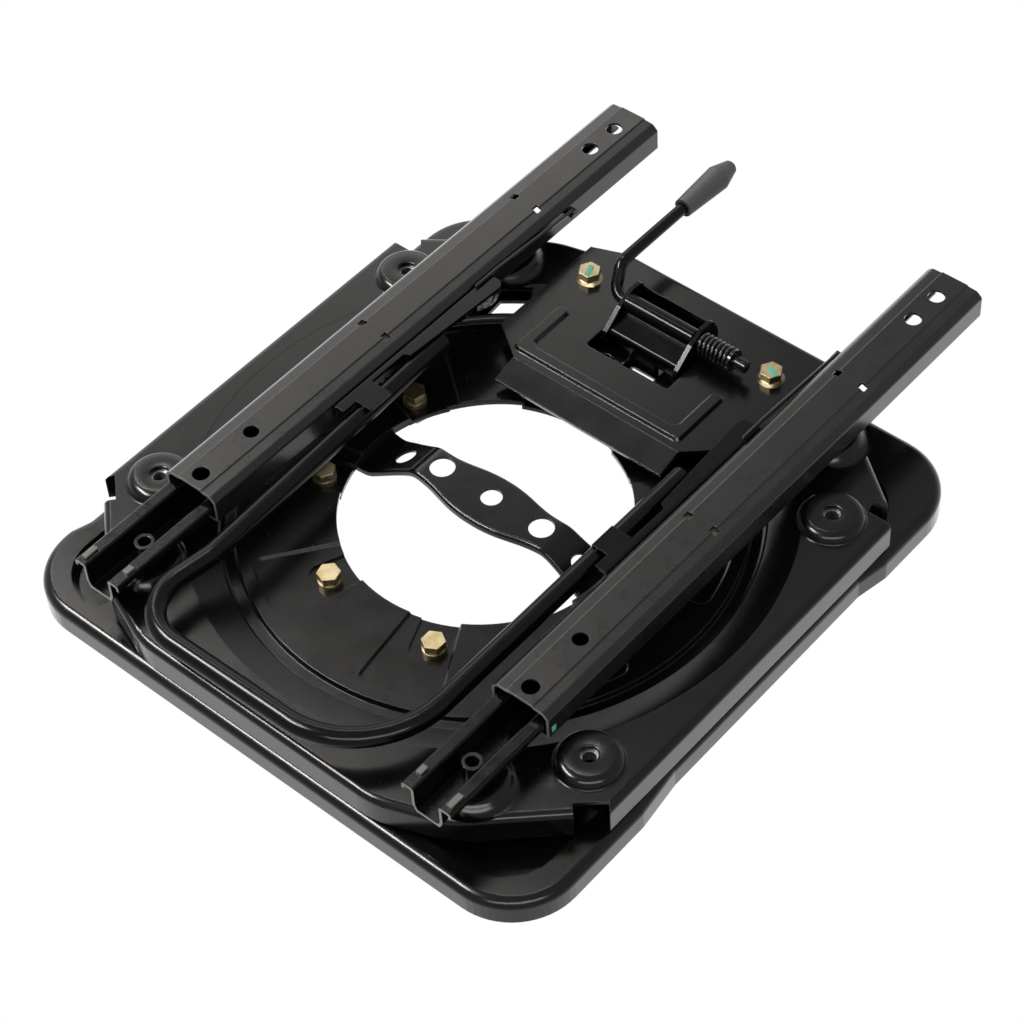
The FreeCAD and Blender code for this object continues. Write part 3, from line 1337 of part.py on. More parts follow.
def make_lock_spring():
    """Coil spring on the rod, between the right ear and a washer."""
    body = new_body("lock_spring")
    wire = new_sketch(body, "spring_wire", "XZ_Plane")
    circle(wire, s.spring_radius, 0, s.spring_wire_radius)
    coil = body.newObject("PartDesign::AdditiveHelix", "spring_coil")
    coil.Profile = wire
    coil.ReferenceAxis = (wire, ["V_Axis"])
    coil.Mode = "pitch-turns-angle"
    set_size(coil, "Pitch", s.spring_pitch)
    set_size(coil, "Turns", s.spring_turns)
    body.Tip = coil
    start = s.ear_right + s.spring_wire_radius + s.roller_gap
    place(body, (start, s.pivot_back, s.pivot_height), (0, 1, 0), 90)
    washer = new_body("spring_washer")
    ring = new_sketch(washer, "washer_ring", "YZ_Plane",
                      offset=start + s.spring_pitch * s.spring_turns + s.spring_wire_radius)
    circle(ring, s.pivot_back, s.pivot_height, s.washer_radius)
    circle(ring, s.pivot_back, s.pivot_height, s.pivot_radius)
    pad(washer, ring, s.washer_gauge)


def make_lower_rail(name, side):
    """Hat-section rail, open upward, with hooked flanges and a lug near its front end."""
    foot = s.plate_top + s.boss_rise
    floor = foot + s.rail_gauge
    top = foot + s.lower_rail_height
    wall = s.lower_wall - s.rail_gauge
    half = [
        (s.lower_web_half, floor),
        (wall, floor + s.lower_web_rise),
        (wall, top),
        (s.lower_hook, top),
        (s.lower_hook, top - s.hook_drop),
    ]
    points = [(-x, y) for x, y in reversed(half)] + half
    centre = side * s.rail_half
    shifted = [(centre + x, y) for x, y in points]
    body, blank = folded(name, "XZ_Plane", shifted, s.rail_gauge, -s.lower_rail_rear, s.lower_rail_front)
    bend_edges(body, blank, "Y", [shifted[1], shifted[2], shifted[-3], shifted[-2]], s.rail_gauge)
    holes = new_sketch(body, f"{name}_holes", offset=floor)
    for j in (-1, 1):
        circle(holes, centre, j * s.fixing_back, s.rivet_radius + s.glide_gap)
    cut(body, holes, s.rail_gauge)
    lugs = new_sketch(body, f"{name}_lugs", offset=top)
    for i, front, length in (
        (-side, s.stop_front, s.stop_length),
        (side, s.stop_outer_front, s.stop_outer_length),
    ):
        middle = centre + i * s.roller_centre
        box_outline(lugs, middle - s.rail_gauge, middle + s.rail_gauge, -front - length / 2, length / 2 - front)
    pad(body, lugs, s.stop_rise)


def make_rivet_nuts():
    """Threaded fixings that hold the lower rails on their pads."""
    body = new_body("rail_rivet_nuts")
    seat = s.plate_top + s.boss_rise
    floor = seat + s.rail_gauge
    collar = new_sketch(body, "rivet_collar", offset=floor)
    shank = new_sketch(body, "rivet_shank", offset=floor)
    bulb = new_sketch(body, "rivet_bulb", offset=seat - s.gauge)
    thread = new_sketch(body, "rivet_thread", offset=floor + s.rivet_collar)
    for i in (-1, 1):
        for j in (-1, 1):
            spot = (i * s.rail_half, j * s.fixing_back)
            circle(collar, *spot, s.rivet_collar_radius)
            circle(shank, *spot, s.rivet_radius)
            circle(bulb, *spot, s.rivet_bulb_radius)
            circle(thread, *spot, s.rivet_thread_radius)
    pad(body, collar, s.rivet_collar)
    pad(body, shank, s.rail_gauge + s.gauge, back=True)
    pad(body, bulb, s.rivet_depth, back=True)
    cut(body, thread, s.rivet_collar + s.rail_gauge + s.gauge + s.rivet_depth)


def make_upper_rail(name, side):
    """Seat rail: formed channel, open below, with turned-in lips."""
    foot = s.upper_top - s.upper_height
    half = [
        (s.band_half, s.upper_top),
        (s.band_half + s.band_drop, s.upper_top - s.band_drop),
        (s.shoulder_half, s.upper_top - s.shoulder_drop),
        (s.upper_half, s.upper_top - s.cheek_drop),
        (s.upper_half, foot),
        (s.lip_inner, foot),
    ]
    points = [(-x, y) for x, y in reversed(half)] + half
    centre = side * s.rail_half
    shifted = [(centre + x, y) for x, y in points]
    body, blank = folded(name, "XZ_Plane", shifted, s.rail_gauge, -s.upper_rail_rear, s.upper_rail_front)
    outer = bend_edges(body, blank, "Y", [shifted[k] for k in (2, 3, -4, -3)], s.rail_fold)
    bend_edges(body, outer, "Y", [shifted[k] for k in (1, -2)], s.rail_gauge)
    holes = new_sketch(body, f"{name}_holes", offset=s.upper_top)
    circle(holes, centre, -s.seat_hole_front, s.seat_hole_radius)
    circle(holes, centre, -s.seat_inner_front, s.seat_inner_radius)
    circle(holes, centre, s.seat_inner_rear, s.seat_hole_radius)
    circle(holes, centre, s.seat_hole_rear, s.seat_hole_radius)
    for y in (s.lance_front, s.lance_rear):
        for i in (-1, 1):
            middle = centre + i * s.lance_offset
            box_outline(holes, middle - s.lance_side / 2, middle + s.lance_side / 2,
                        y - s.lance_side / 2, y + s.lance_side / 2)
    cut(body, holes, s.rail_gauge * 2)
    inner = side * (s.rail_half - s.upper_half)
    bore = new_sketch(body, f"{name}_pin_bore", "YZ_Plane", offset=inner - s.rail_gauge * 2)
    circle(bore, s.lever_pin_back, s.lever_pin_height, s.lever_pin_radius)
    cut(body, bore, s.rail_gauge * 4, back=True)
    lug = new_sketch(body, f"{name}_lug", "YZ_Plane", offset=inner)
    box_outline(lug, s.lug_back - s.lug_length / 2, s.lug_back + s.lug_length / 2,
                s.lug_height - s.rail_gauge, s.lug_height)
    pad(body, lug, s.lug_reach, back=side > 0)


def roller_radius():
    """Half of the room between the flange of the lower rail and the shoulder of the upper one."""
    room = s.upper_top - s.shoulder_drop - s.rail_gauge - (s.plate_top + s.boss_rise + s.lower_rail_height)
    return room / 2 - s.roller_gap


def roller_height():
    return s.plate_top + s.boss_rise + s.lower_rail_height + s.roller_gap + roller_radius()


def make_rail_rollers(word, side):
    """Four rollers on the flanges and a flat cage that keeps them in step."""
    centre = side * s.rail_half
    height = roller_height()
    cage = new_body(f"{word}_roller_cage")
    plate = new_sketch(cage, f"{word}_cage_plate", offset=height - s.cage_gauge / 2)
    box_outline(plate, centre - s.cage_half_width, centre + s.cage_half_width,
                s.cage_centre - s.cage_half, s.cage_centre + s.cage_half)
    rollers = new_body(f"{word}_rail_rollers")
    room = roller_radius() + s.roller_gap
    for i in (-1, 1):
        middle = centre + i * s.roller_centre
        ends = new_sketch(rollers, f"{word}_rollers_{'left' if i < 0 else 'right'}", "YZ_Plane",
                          offset=middle - s.roller_half_length)
        for j in (-1, 1):
            y = s.cage_centre + j * s.roller_pitch_half
            box_outline(plate, middle - s.roller_half_length - s.roller_gap,
                        middle + s.roller_half_length + s.roller_gap, y - room, y + room)
            circle(ends, y, height, roller_radius())
        pad(rollers, ends, s.roller_half_length * 2)
    pad(cage, plate, s.cage_gauge)


def make_rail_balls(word, side):
    """Balls between the hooks of the lower rail and the lips of the upper one."""
    body = new_body(f"{word}_rail_balls")
    hook = s.plate_top + s.boss_rise + s.lower_rail_height - s.hook_drop
    lip = s.upper_top - s.upper_height + s.rail_gauge
    radius = (hook - lip) / 2 - s.roller_gap
    offset = s.upper_half - s.rail_gauge - radius - s.roller_gap
    for i in (-1, 1):
        for j in (-1, 1):
            name = f"{word}_ball_{'left' if i < 0 else 'right'}_{'front' if j < 0 else 'rear'}"
            y = s.cage_centre + j * s.roller_pitch_half
            half = new_sketch(body, name, "XZ_Plane", offset=-y,
                              across=side * s.rail_half + i * offset, up=(hook + lip) / 2)
            outline(half, [
                (ZERO, -radius, (0, 0), radius, True),
                (radius, ZERO, (0, 0), radius, True),
                (ZERO, radius),
            ])
            turn(body, half, "V_Axis")


def make_release_bar():
    """Bent bar across the front, with a knee in its left leg."""
    leg = s.rail_half - s.bar_inset
    bent_rod("release_bar", [
        (-leg - s.bar_splay, s.bar_left_end, s.bar_height),
        (s.bar_knee_in - leg, -s.bar_knee, s.bar_height),
        (-leg - s.bar_corner_out, -s.bar_front - s.bar_skew, s.bar_height),
        (leg, s.bar_skew - s.bar_front, s.bar_height),
        (leg, s.bar_right_end, s.bar_height),
    ], [s.bar_knee_bend, s.bar_left_bend, s.bar_right_bend], s.bar_radius)


def lever_top():
    """The levers' turned-in tops lie on the release bar."""
    return s.bar_height + s.bar_radius + s.lever_gauge


def make_rail_lever(word, side):
    """Lever on the inside of a rail: a saddle on the bar, a comb of pawl teeth and a pivot."""
    body = new_body(f"{word}_rail_lever")
    face = s.rail_half - s.upper_half - s.lever_play
    low = face - s.lever_gauge if side > 0 else -face
    foot = s.lever_foot
    web = new_sketch(body, f"{word}_lever_web", "YZ_Plane", offset=low)
    teeth = []
    for k in range(3):
        start = s.pawl_front + k * s.pawl_pitch
        teeth += [(start, foot), (start, foot - s.pawl_depth),
                  (start + s.pawl_width, foot - s.pawl_depth), (start + s.pawl_width, foot)]
    outline(web, [(-s.lever_nose, foot)] + teeth + [
        (s.lever_pin_back - s.lever_depth * 2, foot),
        (s.lever_pin_back - s.lever_depth, foot - s.lever_depth),
        (s.lever_pin_back + s.lever_depth, foot - s.lever_depth),
        (s.lever_pin_back + s.lever_depth * 2, foot),
        (s.lever_end, foot),
        (s.lever_end, lever_top()),
        (-s.lever_nose, lever_top()),
    ])
    circle(web, s.lever_pin_back, s.lever_pin_height, s.lever_pin_radius + s.pivot_play)
    pad(body, web, s.lever_gauge)
    tray = new_sketch(body, f"{word}_lever_tray", offset=lever_top())
    saddle_rear = s.saddle_length - s.saddle_front
    saddle = s.rail_half - s.bar_inset - s.saddle_past
    outline(tray, [
        (side * face, -s.lever_nose),
        (side * face, s.lever_end),
        (side * (face - s.tray_rear), s.lever_end),
        (side * (face - s.tray_middle), s.tray_step + s.lever_gauge),
        (side * (face - s.tray_width), s.tray_step),
        (side * (face - s.tray_width), saddle_rear),
        (side * saddle, saddle_rear),
        (side * saddle, -s.saddle_front),
        (side * (face - s.nose_width), -s.saddle_front),
        (side * (face - s.nose_width), -s.lever_nose),
    ])
    top = pad(body, tray, s.lever_gauge, back=True)
    ended = round_edges(body, top, near([(side * (face - s.tray_rear), s.lever_end)]), s.tray_round)
    bend_edges(body, ended, "Y", [(side * face, lever_top())], s.lever_gauge)


def make_lever_pin(word, side):
    """Shouldered pivot riveted in the side of the upper rail."""
    body = new_body(f"{word}_lever_pin")
    wall = s.rail_half - s.upper_half
    start = wall + s.rail_gauge
    end = wall - s.lever_play - s.lever_gauge - s.pivot_play
    shank = new_sketch(body, f"{word}_pin_shank", "YZ_Plane", offset=side * start)
    circle(shank, s.lever_pin_back, s.lever_pin_height, s.lever_pin_radius)
    pad(body, shank, start - end, back=side > 0)
    head = new_sketch(body, f"{word}_pin_head", "YZ_Plane", offset=side * end)
    circle(head, s.lever_pin_back, s.lever_pin_height, s.pin_head_radius)
    pad(body, head, s.pin_head, back=side > 0)


def make_lever_spring(word, side):
    """Wire from the rear of the lever to the lug of the rail."""
    across = side * (s.rail_half - s.upper_half - s.lug_reach / 2)
    crest = lever_top() + s.wire_radius
    bent_rod(f"{word}_lever_spring", [
        (across, s.wire_front, crest),
        (across, s.wire_crest, crest),
        (across, s.lug_back, s.lug_height + s.wire_radius),
    ], [s.wire_bend], s.wire_radius)


make_base_plate()
make_swivel_plate()
make_clamp_ring()
make_glide_rings()
make_ring_fasteners()
make_strap()
make_boss_nuts()
make_lock_panel()
make_panel_fasteners()
make_panel_rivet()
make_bracket()
make_latch()
make_lock_lever()
make_grip()
make_lock_spring()
make_rivet_nuts()
make_release_bar()
for word, side in (("left", -1), ("right", 1)):
    make_lower_rail(f"{word}_lower_rail", side)
    make_upper_rail(f"{word}_upper_rail", side)
    make_rail_rollers(word, side)
    make_rail_balls(word, side)
    make_rail_lever(word, side)
    make_lever_pin(word, side)
    make_lever_spring(word, side)
document.recompute()

for feature in document.Objects:
    if "Invalid" in feature.State or "Error" in feature.State:
        raise RuntimeError(f"{feature.Label} did not rebuild: {feature.State}")
for body in bodies:
    if body.Shape.isNull() or not body.Shape.isValid():
        raise RuntimeError(f"{body.Label} has no sound shape")

os.makedirs("parts", exist_ok=True)
for body in bodies:
    body.Shape.exportStep(f"parts/{body.Label}.step")
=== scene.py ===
import json
import math

import bpy
from mathutils import Matrix, Vector

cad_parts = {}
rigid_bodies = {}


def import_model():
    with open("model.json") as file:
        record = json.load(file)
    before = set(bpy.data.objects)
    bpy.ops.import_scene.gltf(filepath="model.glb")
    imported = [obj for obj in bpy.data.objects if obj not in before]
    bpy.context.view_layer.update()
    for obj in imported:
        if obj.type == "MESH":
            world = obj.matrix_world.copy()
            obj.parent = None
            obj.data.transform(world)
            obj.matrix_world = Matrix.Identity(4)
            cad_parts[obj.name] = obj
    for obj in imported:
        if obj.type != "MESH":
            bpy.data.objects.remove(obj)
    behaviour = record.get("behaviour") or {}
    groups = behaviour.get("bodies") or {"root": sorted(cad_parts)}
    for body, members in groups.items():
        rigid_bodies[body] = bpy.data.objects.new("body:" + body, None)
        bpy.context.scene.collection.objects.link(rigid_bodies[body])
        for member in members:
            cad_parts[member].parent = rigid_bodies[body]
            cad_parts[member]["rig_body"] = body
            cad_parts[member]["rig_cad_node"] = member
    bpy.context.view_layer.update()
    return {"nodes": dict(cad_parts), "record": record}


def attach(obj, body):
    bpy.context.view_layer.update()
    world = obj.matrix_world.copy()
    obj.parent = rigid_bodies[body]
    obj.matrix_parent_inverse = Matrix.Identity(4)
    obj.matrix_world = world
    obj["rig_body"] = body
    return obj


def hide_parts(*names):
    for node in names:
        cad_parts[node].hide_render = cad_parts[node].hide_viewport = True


# The looks of the swivel seat base. Metres, +Z up, the release bar at the front on -Y.
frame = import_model()
nodes = frame["nodes"]
bodies = frame["record"]["behaviour"]["bodies"]
body_of = {node: body for body, held in bodies.items() for node in held}
MM = 0.001

bpy.ops.object.select_all(action="DESELECT")


def standing(place, across, upward, backward):
    """World matrix of a camera or a lamp at a place, which looks away from its backward axis."""
    return Matrix((
        (across.x, upward.x, backward.x, place[0]),
        (across.y, upward.y, backward.y, place[1]),
        (across.z, upward.z, backward.z, place[2]),
        (0, 0, 0, 1),
    ))


# The photograph's camera, worked out from the rails, the bosses and the base plate.
camera_data = bpy.data.cameras.new("camera")
camera_data.sensor_width = 36
camera_data.lens = 99.95
camera_data.clip_end = 20
camera = bpy.data.objects.new("camera", camera_data)
bpy.context.scene.collection.objects.link(camera)
camera_place = (793.23 * MM, -817.71 * MM, 1324.69 * MM)
azimuth = math.radians(43.54)
elevation = math.radians(48.70)
roll = math.radians(-4.05)
back = Vector((
    math.sin(azimuth) * math.cos(elevation),
    -math.cos(azimuth) * math.cos(elevation),
    math.sin(elevation),
))
level_right = Vector((math.cos(azimuth), math.sin(azimuth), 0))
level_up = back.cross(level_right)
right = level_right * math.cos(roll) + level_up * math.sin(roll)
camera.matrix_world = standing(camera_place, right, back.cross(right), back)
bpy.context.scene.camera = camera


def linear(colour):
    """sRGB hex colour to linear light, with full cover."""
    parts = [int(colour[k:k + 2], 16) / 255 for k in (0, 2, 4)]
    return [p / 12.92 if p <= 0.04045 else ((p + 0.055) / 1.055) ** 2.4 for p in parts] + [1]


def add(tree, kind, sockets, **settings):
    """Add a node; a socket takes a value or the output of another node."""
    made = tree.nodes.new(kind)
    for name, value in settings.items():
        setattr(made, name, value)
    for name, value in sockets.items():
        if isinstance(value, bpy.types.NodeSocket):
            tree.links.new(value, made.inputs[name])
        else:
            made.inputs[name].default_value = value
    return made


def new_material(name):
    """A material with an empty tree of nodes."""
    material = bpy.data.materials.new(name)
    material.use_nodes = True
    tree = material.node_tree
    tree.nodes.clear()
    return material, tree


def finish_material(tree, sockets):
    """Close a material with its surface, whose sockets are given."""
    surface = add(tree, "ShaderNodeBsdfPrincipled", sockets)
    add(tree, "ShaderNodeOutputMaterial", {"Surface": surface.outputs["BSDF"]})


def patches(tree, place, size, low, high, first, last, **noise):
    """A value that drifts from first to last over patches of about a size in metres.

    low and high are the heights of the noise at which the drift starts and ends.
    """
    cloud = add(tree, "ShaderNodeTexNoise", {"Vector": place, "Scale": 1 / size, **noise})
    drift = add(tree, "ShaderNodeMapRange", {
        "Value": cloud.outputs["Fac"],
        "From Min": low,
        "From Max": high,
        "To Min": first,
        "To Max": last,
    })
    return drift.outputs["Result"]


def blended(tree, share, first, second):
    """Blend of two colours, all the second one where the share is one."""
    mix = add(tree, "ShaderNodeMix", {"Factor": share, "A": first, "B": second}, data_type="RGBA")
    return mix.outputs["Result"]


def bare_and_glint_places(tree, place, limits):
    """One where a coordinate passes a limit, as on a sheared end or a tab, where pale bare steel is
    painted, partly as a painted glint.
    """
    axes = add(tree, "ShaderNodeSeparateXYZ", {"Vector": place}).outputs
    found = 0.0
    for axis, side, limit in limits:
        past = add(tree, "ShaderNodeMath", {0: axes[axis], 1: limit}, operation=side)
        most = add(tree, "ShaderNodeMath", {0: past.outputs["Value"], 1: found}, operation="MAXIMUM")
        found = most.outputs["Value"]
    return found


pale_dust = linear("33332f")
# Pale steel for bare cut ends and tabs; it also stands in as a painted glint along them.
bare_steel_and_glint = linear("8c8b85")


def painted_steel(name, dark, light, gloss, dull, shine, peel, edge, glaze_most=1.0, bare_and_glint=()):
    """Black coat on steel: a slight orange peel, cloudy gloss, pale dust and soft bends.

    gloss and dull are the roughness limits, shine the specular level, peel the depth of the
    orange peel, edge the radius of the softened edges, glaze_most the gloss at a grazing view
    and the last the limits past which the steel shows bare, in a pale colour that is partly a painted
    glint.
    """
    material, tree = new_material(name)
    place = add(tree, "ShaderNodeTexCoord", {}).outputs["Object"]
    cloud = patches(tree, place, 45 * MM, 0.3, 0.7, 0, 1, Detail=3.0)
    fleck = patches(tree, place, 2.2 * MM, 0.70, 0.78, 0, 1, Detail=2.0)
    scuff = patches(tree, place, 18 * MM, 0.3, 0.7, gloss, dull, Detail=6.0, Roughness=0.7)
    colour = blended(tree, cloud, linear(dark), linear(light))
    colour = blended(tree, fleck, colour, pale_dust)
    if bare_and_glint:
        colour = blended(tree, bare_and_glint_places(tree, place, bare_and_glint), colour, bare_steel_and_glint)
    rounded = add(tree, "ShaderNodeBevel", {"Radius": edge}, samples=6).outputs["Normal"]
    pores = add(tree, "ShaderNodeTexNoise", {"Vector": place, "Scale": 1 / (1.6 * MM), "Detail": 1.0})
    skin = add(tree, "ShaderNodeBump", {
        "Height": pores.outputs["Fac"],
        "Strength": 1.0,
        "Distance": peel,
        "Normal": rounded,
    })
    slant = add(tree, "ShaderNodeLayerWeight", {"Blend": 0.5, "Normal": rounded})
    glaze = add(tree, "ShaderNodeMapRange", {
        "Value": slant.outputs["Facing"],
        "From Min": 0.3,
        "From Max": 0.75,
        "To Max": glaze_most,
    })
    finish_material(tree, {
        "Base Color": colour,
        "Roughness": scuff,
        "Specular IOR Level": shine,
        "Coat Weight": glaze.outputs["Result"],
        "Coat Roughness": 0.16,
        "Normal": skin.outputs["Normal"],
    })
    return material


def plated_steel(name, thin, thick, gloss, edge):
    """Zinc plate whose film drifts in colour, or ground steel; both are duller in spots."""
    material, tree = new_material(name)
    place = add(tree, "ShaderNodeTexCoord", {}).outputs["Object"]
    film = patches(tree, place, 7 * MM, 0.35, 0.65, 0, 1, Detail=3.0)
    spot = 1.5 * MM
    wear = patches(tree, place, spot, 0.3, 0.7, gloss, gloss + 0.14, Detail=3.0)
    rounded = add(tree, "ShaderNodeBevel", {"Radius": edge}, samples=6).outputs["Normal"]
    pits = add(tree, "ShaderNodeTexNoise", {"Vector": place, "Scale": 1 / spot, "Detail": 3.0})
    skin = add(tree, "ShaderNodeBump", {
        "Height": pits.outputs["Fac"],
        "Strength": 1.0,
        "Distance": 0.02 * MM,
        "Normal": rounded,
    })
    finish_material(tree, {
        "Base Color": blended(tree, film, linear(thin), linear(thick)),
        "Metallic": 1.0,
        "Roughness": wear,
        "Normal": skin.outputs["Normal"],
    })
    return material


def moulded(name, dark, light, roughness, pore, depth):
    """Plastic, rubber or thick paint with a fine matt skin."""
    material, tree = new_material(name)
    place = add(tree, "ShaderNodeTexCoord", {}).outputs["Object"]
    cloud = patches(tree, place, 12 * MM, 0.3, 0.7, 0, 1)
    pores = add(tree, "ShaderNodeTexNoise", {"Vector": place, "Scale": 1 / pore, "Detail": 2.0})
    skin = add(tree, "ShaderNodeBump", {
        "Height": pores.outputs["Fac"],
        "Strength": 1.0,
        "Distance": depth,
    })
    finish_material(tree, {
        "Base Color": blended(tree, cloud, linear(dark), linear(light)),
        "Roughness": roughness,
        "Normal": skin.outputs["Normal"],
    })
    return material


# Satin black powder coat on the big pressings: soft wide highlights along the bends.
powder_coat = painted_steel(
    "black_powder_coat", "0c0b0a", "13110f",
    gloss=0.17, dull=0.24, shine=0.16, peel=0.004 * MM, edge=0.9 * MM,
)
# Thinner black coat on the rolled rails, a lighter grey-black than the plates; the sheared front ends
# are painted bare steel, a pale colour that is partly a painted glint.
rail_coat = painted_steel(
    "black_rail_coat", "171514", "1f1d1b",
    gloss=0.24, dull=0.34, shine=0.24, peel=0.012 * MM, edge=0.5 * MM,
    bare_and_glint=[("Y", "LESS_THAN", -123.1 * MM)],
)
# Greased black coat of the lower rails, wet and dark; cut ends and stop tabs are painted bare steel,
# a pale colour that is partly a painted glint.
greased_coat = painted_steel(
    "greased_black_coat", "070707", "0d0d0c",
    gloss=0.12, dull=0.36, shine=0.10, peel=0.05 * MM, edge=0.4 * MM,
    bare_and_glint=[("Y", "LESS_THAN", -202.3 * MM), ("Z", "GREATER_THAN", 66.6 * MM)],
)
# Dipped black coat on the release bar and the lever rod: smooth, one soft highlight along them.
dipped_coat = painted_steel(
    "black_dipped_coat", "080807", "0c0c0b",
    gloss=0.15, dull=0.22, shine=0.10, peel=0.003 * MM, edge=0.5 * MM, glaze_most=0.1,
)
# Oiled black coat on the latch and its bracket, the darkest and wettest of all; on the latch its
# darkest black and low shine are painted shade of the recess it sits in.
oiled_coat_with_shade = painted_steel(
    "oiled_black_coat_painted_shade", "060606", "0a0a0a",
    gloss=0.12, dull=0.22, shine=0.06, peel=0.01 * MM, edge=0.7 * MM, glaze_most=0.7,
)
# Phosphated and oiled spring wire, nearly black with a sharp highlight.
spring_steel = painted_steel(
    "phosphated_spring_wire", "080808", "0e0d0d",
    gloss=0.14, dull=0.20, shine=0.25, peel=0.004 * MM, edge=0.2 * MM,
)
# Yellow passivated zinc on the screws, pale gold with grey patches.
yellow_zinc = plated_steel("yellow_passivated_zinc", "8a8167", "776a4c", gloss=0.30, edge=0.5 * MM)
# Clear zinc on the nuts below, dull grey.
clear_zinc = plated_steel("clear_zinc", "8f9093", "6c6d70", gloss=0.34, edge=0.3 * MM)
# Ground steel of rollers, balls and pivots, bright and even.
ground_steel = plated_steel("ground_steel", "c9cacc", "b4b5b8", gloss=0.18, edge=0.2 * MM)
# Natural nylon of the slide rings and cages, slightly yellow.
nylon = moulded("natural_nylon", "cfcab8", "ddd9c9", 0.45, pore=3 * MM, depth=0.02 * MM)
# Mid grey soft rubber of the grip, matt and a little dusty.
grip_rubber = moulded("grey_rubber", "343638", "3e4042", 0.55, pore=0.9 * MM, depth=0.03 * MM)
# Teal marking paint, brushed on thick.
marking_paint = moulded(
    "teal_marking_paint", "4fbf9d", "6accae", 0.5, pore=0.5 * MM, depth=0.03 * MM)

finish_of_slot = {
    "black_paint": powder_coat,
    "rail_paint": greased_coat,
    "yellow_zinc": yellow_zinc,
    "dark_zinc": clear_zinc,
    "bright_steel": ground_steel,
    "black_wire": spring_steel,
    "nylon": nylon,
    "grey_rubber": grip_rubber,
}
finish_of_node = {
    "left_upper_rail": rail_coat,
    "right_upper_rail": rail_coat,
    "release_bar": dipped_coat,
    "lock_lever": dipped_coat,
    "left_rail_lever": dipped_coat,
    "right_rail_lever": dipped_coat,
    # The latch takes the darkest coat as painted shade of its recess.
    "lock_latch": oiled_coat_with_shade,
    "lock_bracket": oiled_coat_with_shade,
}
for part in frame["record"]["subparts"]:
    slots = nodes[part["node"]].data.materials
    slots.clear()
    slots.append(finish_of_node.get(part["node"], finish_of_slot[part["material_slot"]]))


def select_only(piece):
    """Select one piece and make it the active one."""
    bpy.ops.object.select_all(action="DESELECT")
    piece.select_set(True)
    bpy.context.view_layer.objects.active = piece


def apply_modifier(piece, name, kind, **settings):
    """Give the active piece a modifier and apply it."""
    modifier = piece.modifiers.new(name, kind)
    for key, value in settings.items():
        setattr(modifier, key, value)
    bpy.ops.object.modifier_apply(modifier=name)


def smoothed(node, angle):
    """Show a copy of a CAD node in its place, with its facets joined and shaded round."""
    source = nodes[node]
    piece = source.copy()
    piece.data = source.data.copy()
    piece.name = f"{node}_smooth"
    piece.parent = None
    bpy.context.scene.collection.objects.link(piece)
    select_only(piece)
    bpy.ops.object.mode_set(mode="EDIT")
    bpy.ops.mesh.select_all(action="SELECT")
    bpy.ops.mesh.remove_doubles(threshold=0.002 * MM)
    bpy.ops.object.mode_set(mode="OBJECT")
    bpy.ops.object.shade_smooth_by_angle(angle=math.radians(angle))
    apply_modifier(piece, "flat_faces_lead", "WEIGHTED_NORMAL", keep_sharp=True, weight=100)
    piece.select_set(False)
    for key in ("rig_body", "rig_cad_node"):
        if key in piece:
            del piece[key]
    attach(piece, body_of[node])
    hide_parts(node)


# Drawn wire, bar and rubber are round all over; pressed sheet is round only across small steps.
for node in ("lock_lever", "lever_grip", "lock_spring", "release_bar",
             "left_lever_spring", "right_lever_spring"):
    smoothed(node, 35)
smoothed("base_plate", 9)


def hang(piece, name, body, finish, angle):
    """Name a finished piece, keep its place in its mesh, and let it ride on its body."""
    piece.name = name
    select_only(piece)
    bpy.ops.object.transform_apply(location=True, rotation=True, scale=True)
    bpy.ops.object.shade_smooth_by_angle(angle=math.radians(angle))
    piece.select_set(False)
    piece.data.materials.clear()
    piece.data.materials.append(finish)
    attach(piece, body)


# Paint dashes across the heads of the panel's two screws, and a dab on the end of the right rail,
# as a fitter marks checked work. Each has its middle, its turn in degrees and its size in mm.
dash_size = (9.5, 3.6, 0.5)
dab_size = (3.4, 0.5, 4.5)
for name, body, middle, turn, size in (
    ("left_bolt_dash", "swivel", (-72.6, 181.2, 51.1), -71, dash_size),
    ("right_bolt_dash", "swivel", (74.4, 181.2, 51.1), -27, dash_size),
    ("right_rail_dab", "seat_rails", (149.7, -119.0, 60.0), 90, dab_size),
):
    bpy.ops.mesh.primitive_cube_add(
        size=1,
        location=[c * MM for c in middle],
        rotation=(0, 0, math.radians(turn)),
        scale=[c * MM for c in size],
    )
    mark = bpy.context.active_object
    bpy.ops.object.transform_apply(location=False, rotation=False, scale=True)
    bpy.ops.object.mode_set(mode="EDIT")
    bpy.ops.mesh.select_all(action="SELECT")
    bpy.ops.mesh.bevel(offset=0.2 * MM, segments=2)
    bpy.ops.object.mode_set(mode="OBJECT")
    hang(mark, name, body, marking_paint, angle=50)


def drawn_round(name, middle, rings):
    """A round raised form drawn up ring by ring; each ring is a radius and a height in mm."""
    x, y = (c * MM for c in middle)
    first_radius, first_height = rings[0]
    bpy.ops.mesh.primitive_circle_add(
        vertices=64, radius=first_radius * MM, location=(x, y, first_height * MM))
    piece = bpy.context.active_object
    bpy.ops.object.transform_apply(location=True, rotation=True, scale=True)
    bpy.ops.object.mode_set(mode="EDIT")
    bpy.ops.mesh.select_all(action="SELECT")
    for (radius, height), (next_radius, next_height) in zip(rings, rings[1:]):
        rise = (0, 0, (next_height - height) * MM)
        bpy.ops.mesh.extrude_region_move(TRANSFORM_OT_translate={"value": rise})
        grow = next_radius / radius
        bpy.ops.transform.resize(value=(grow, grow, 1), center_override=(x, y, 0))
    bpy.ops.mesh.select_all(action="SELECT")
    bpy.ops.mesh.normals_make_consistent(inside=False)
    bpy.ops.object.mode_set(mode="OBJECT")
    hang(piece, name, "swivel", powder_coat, angle=50)


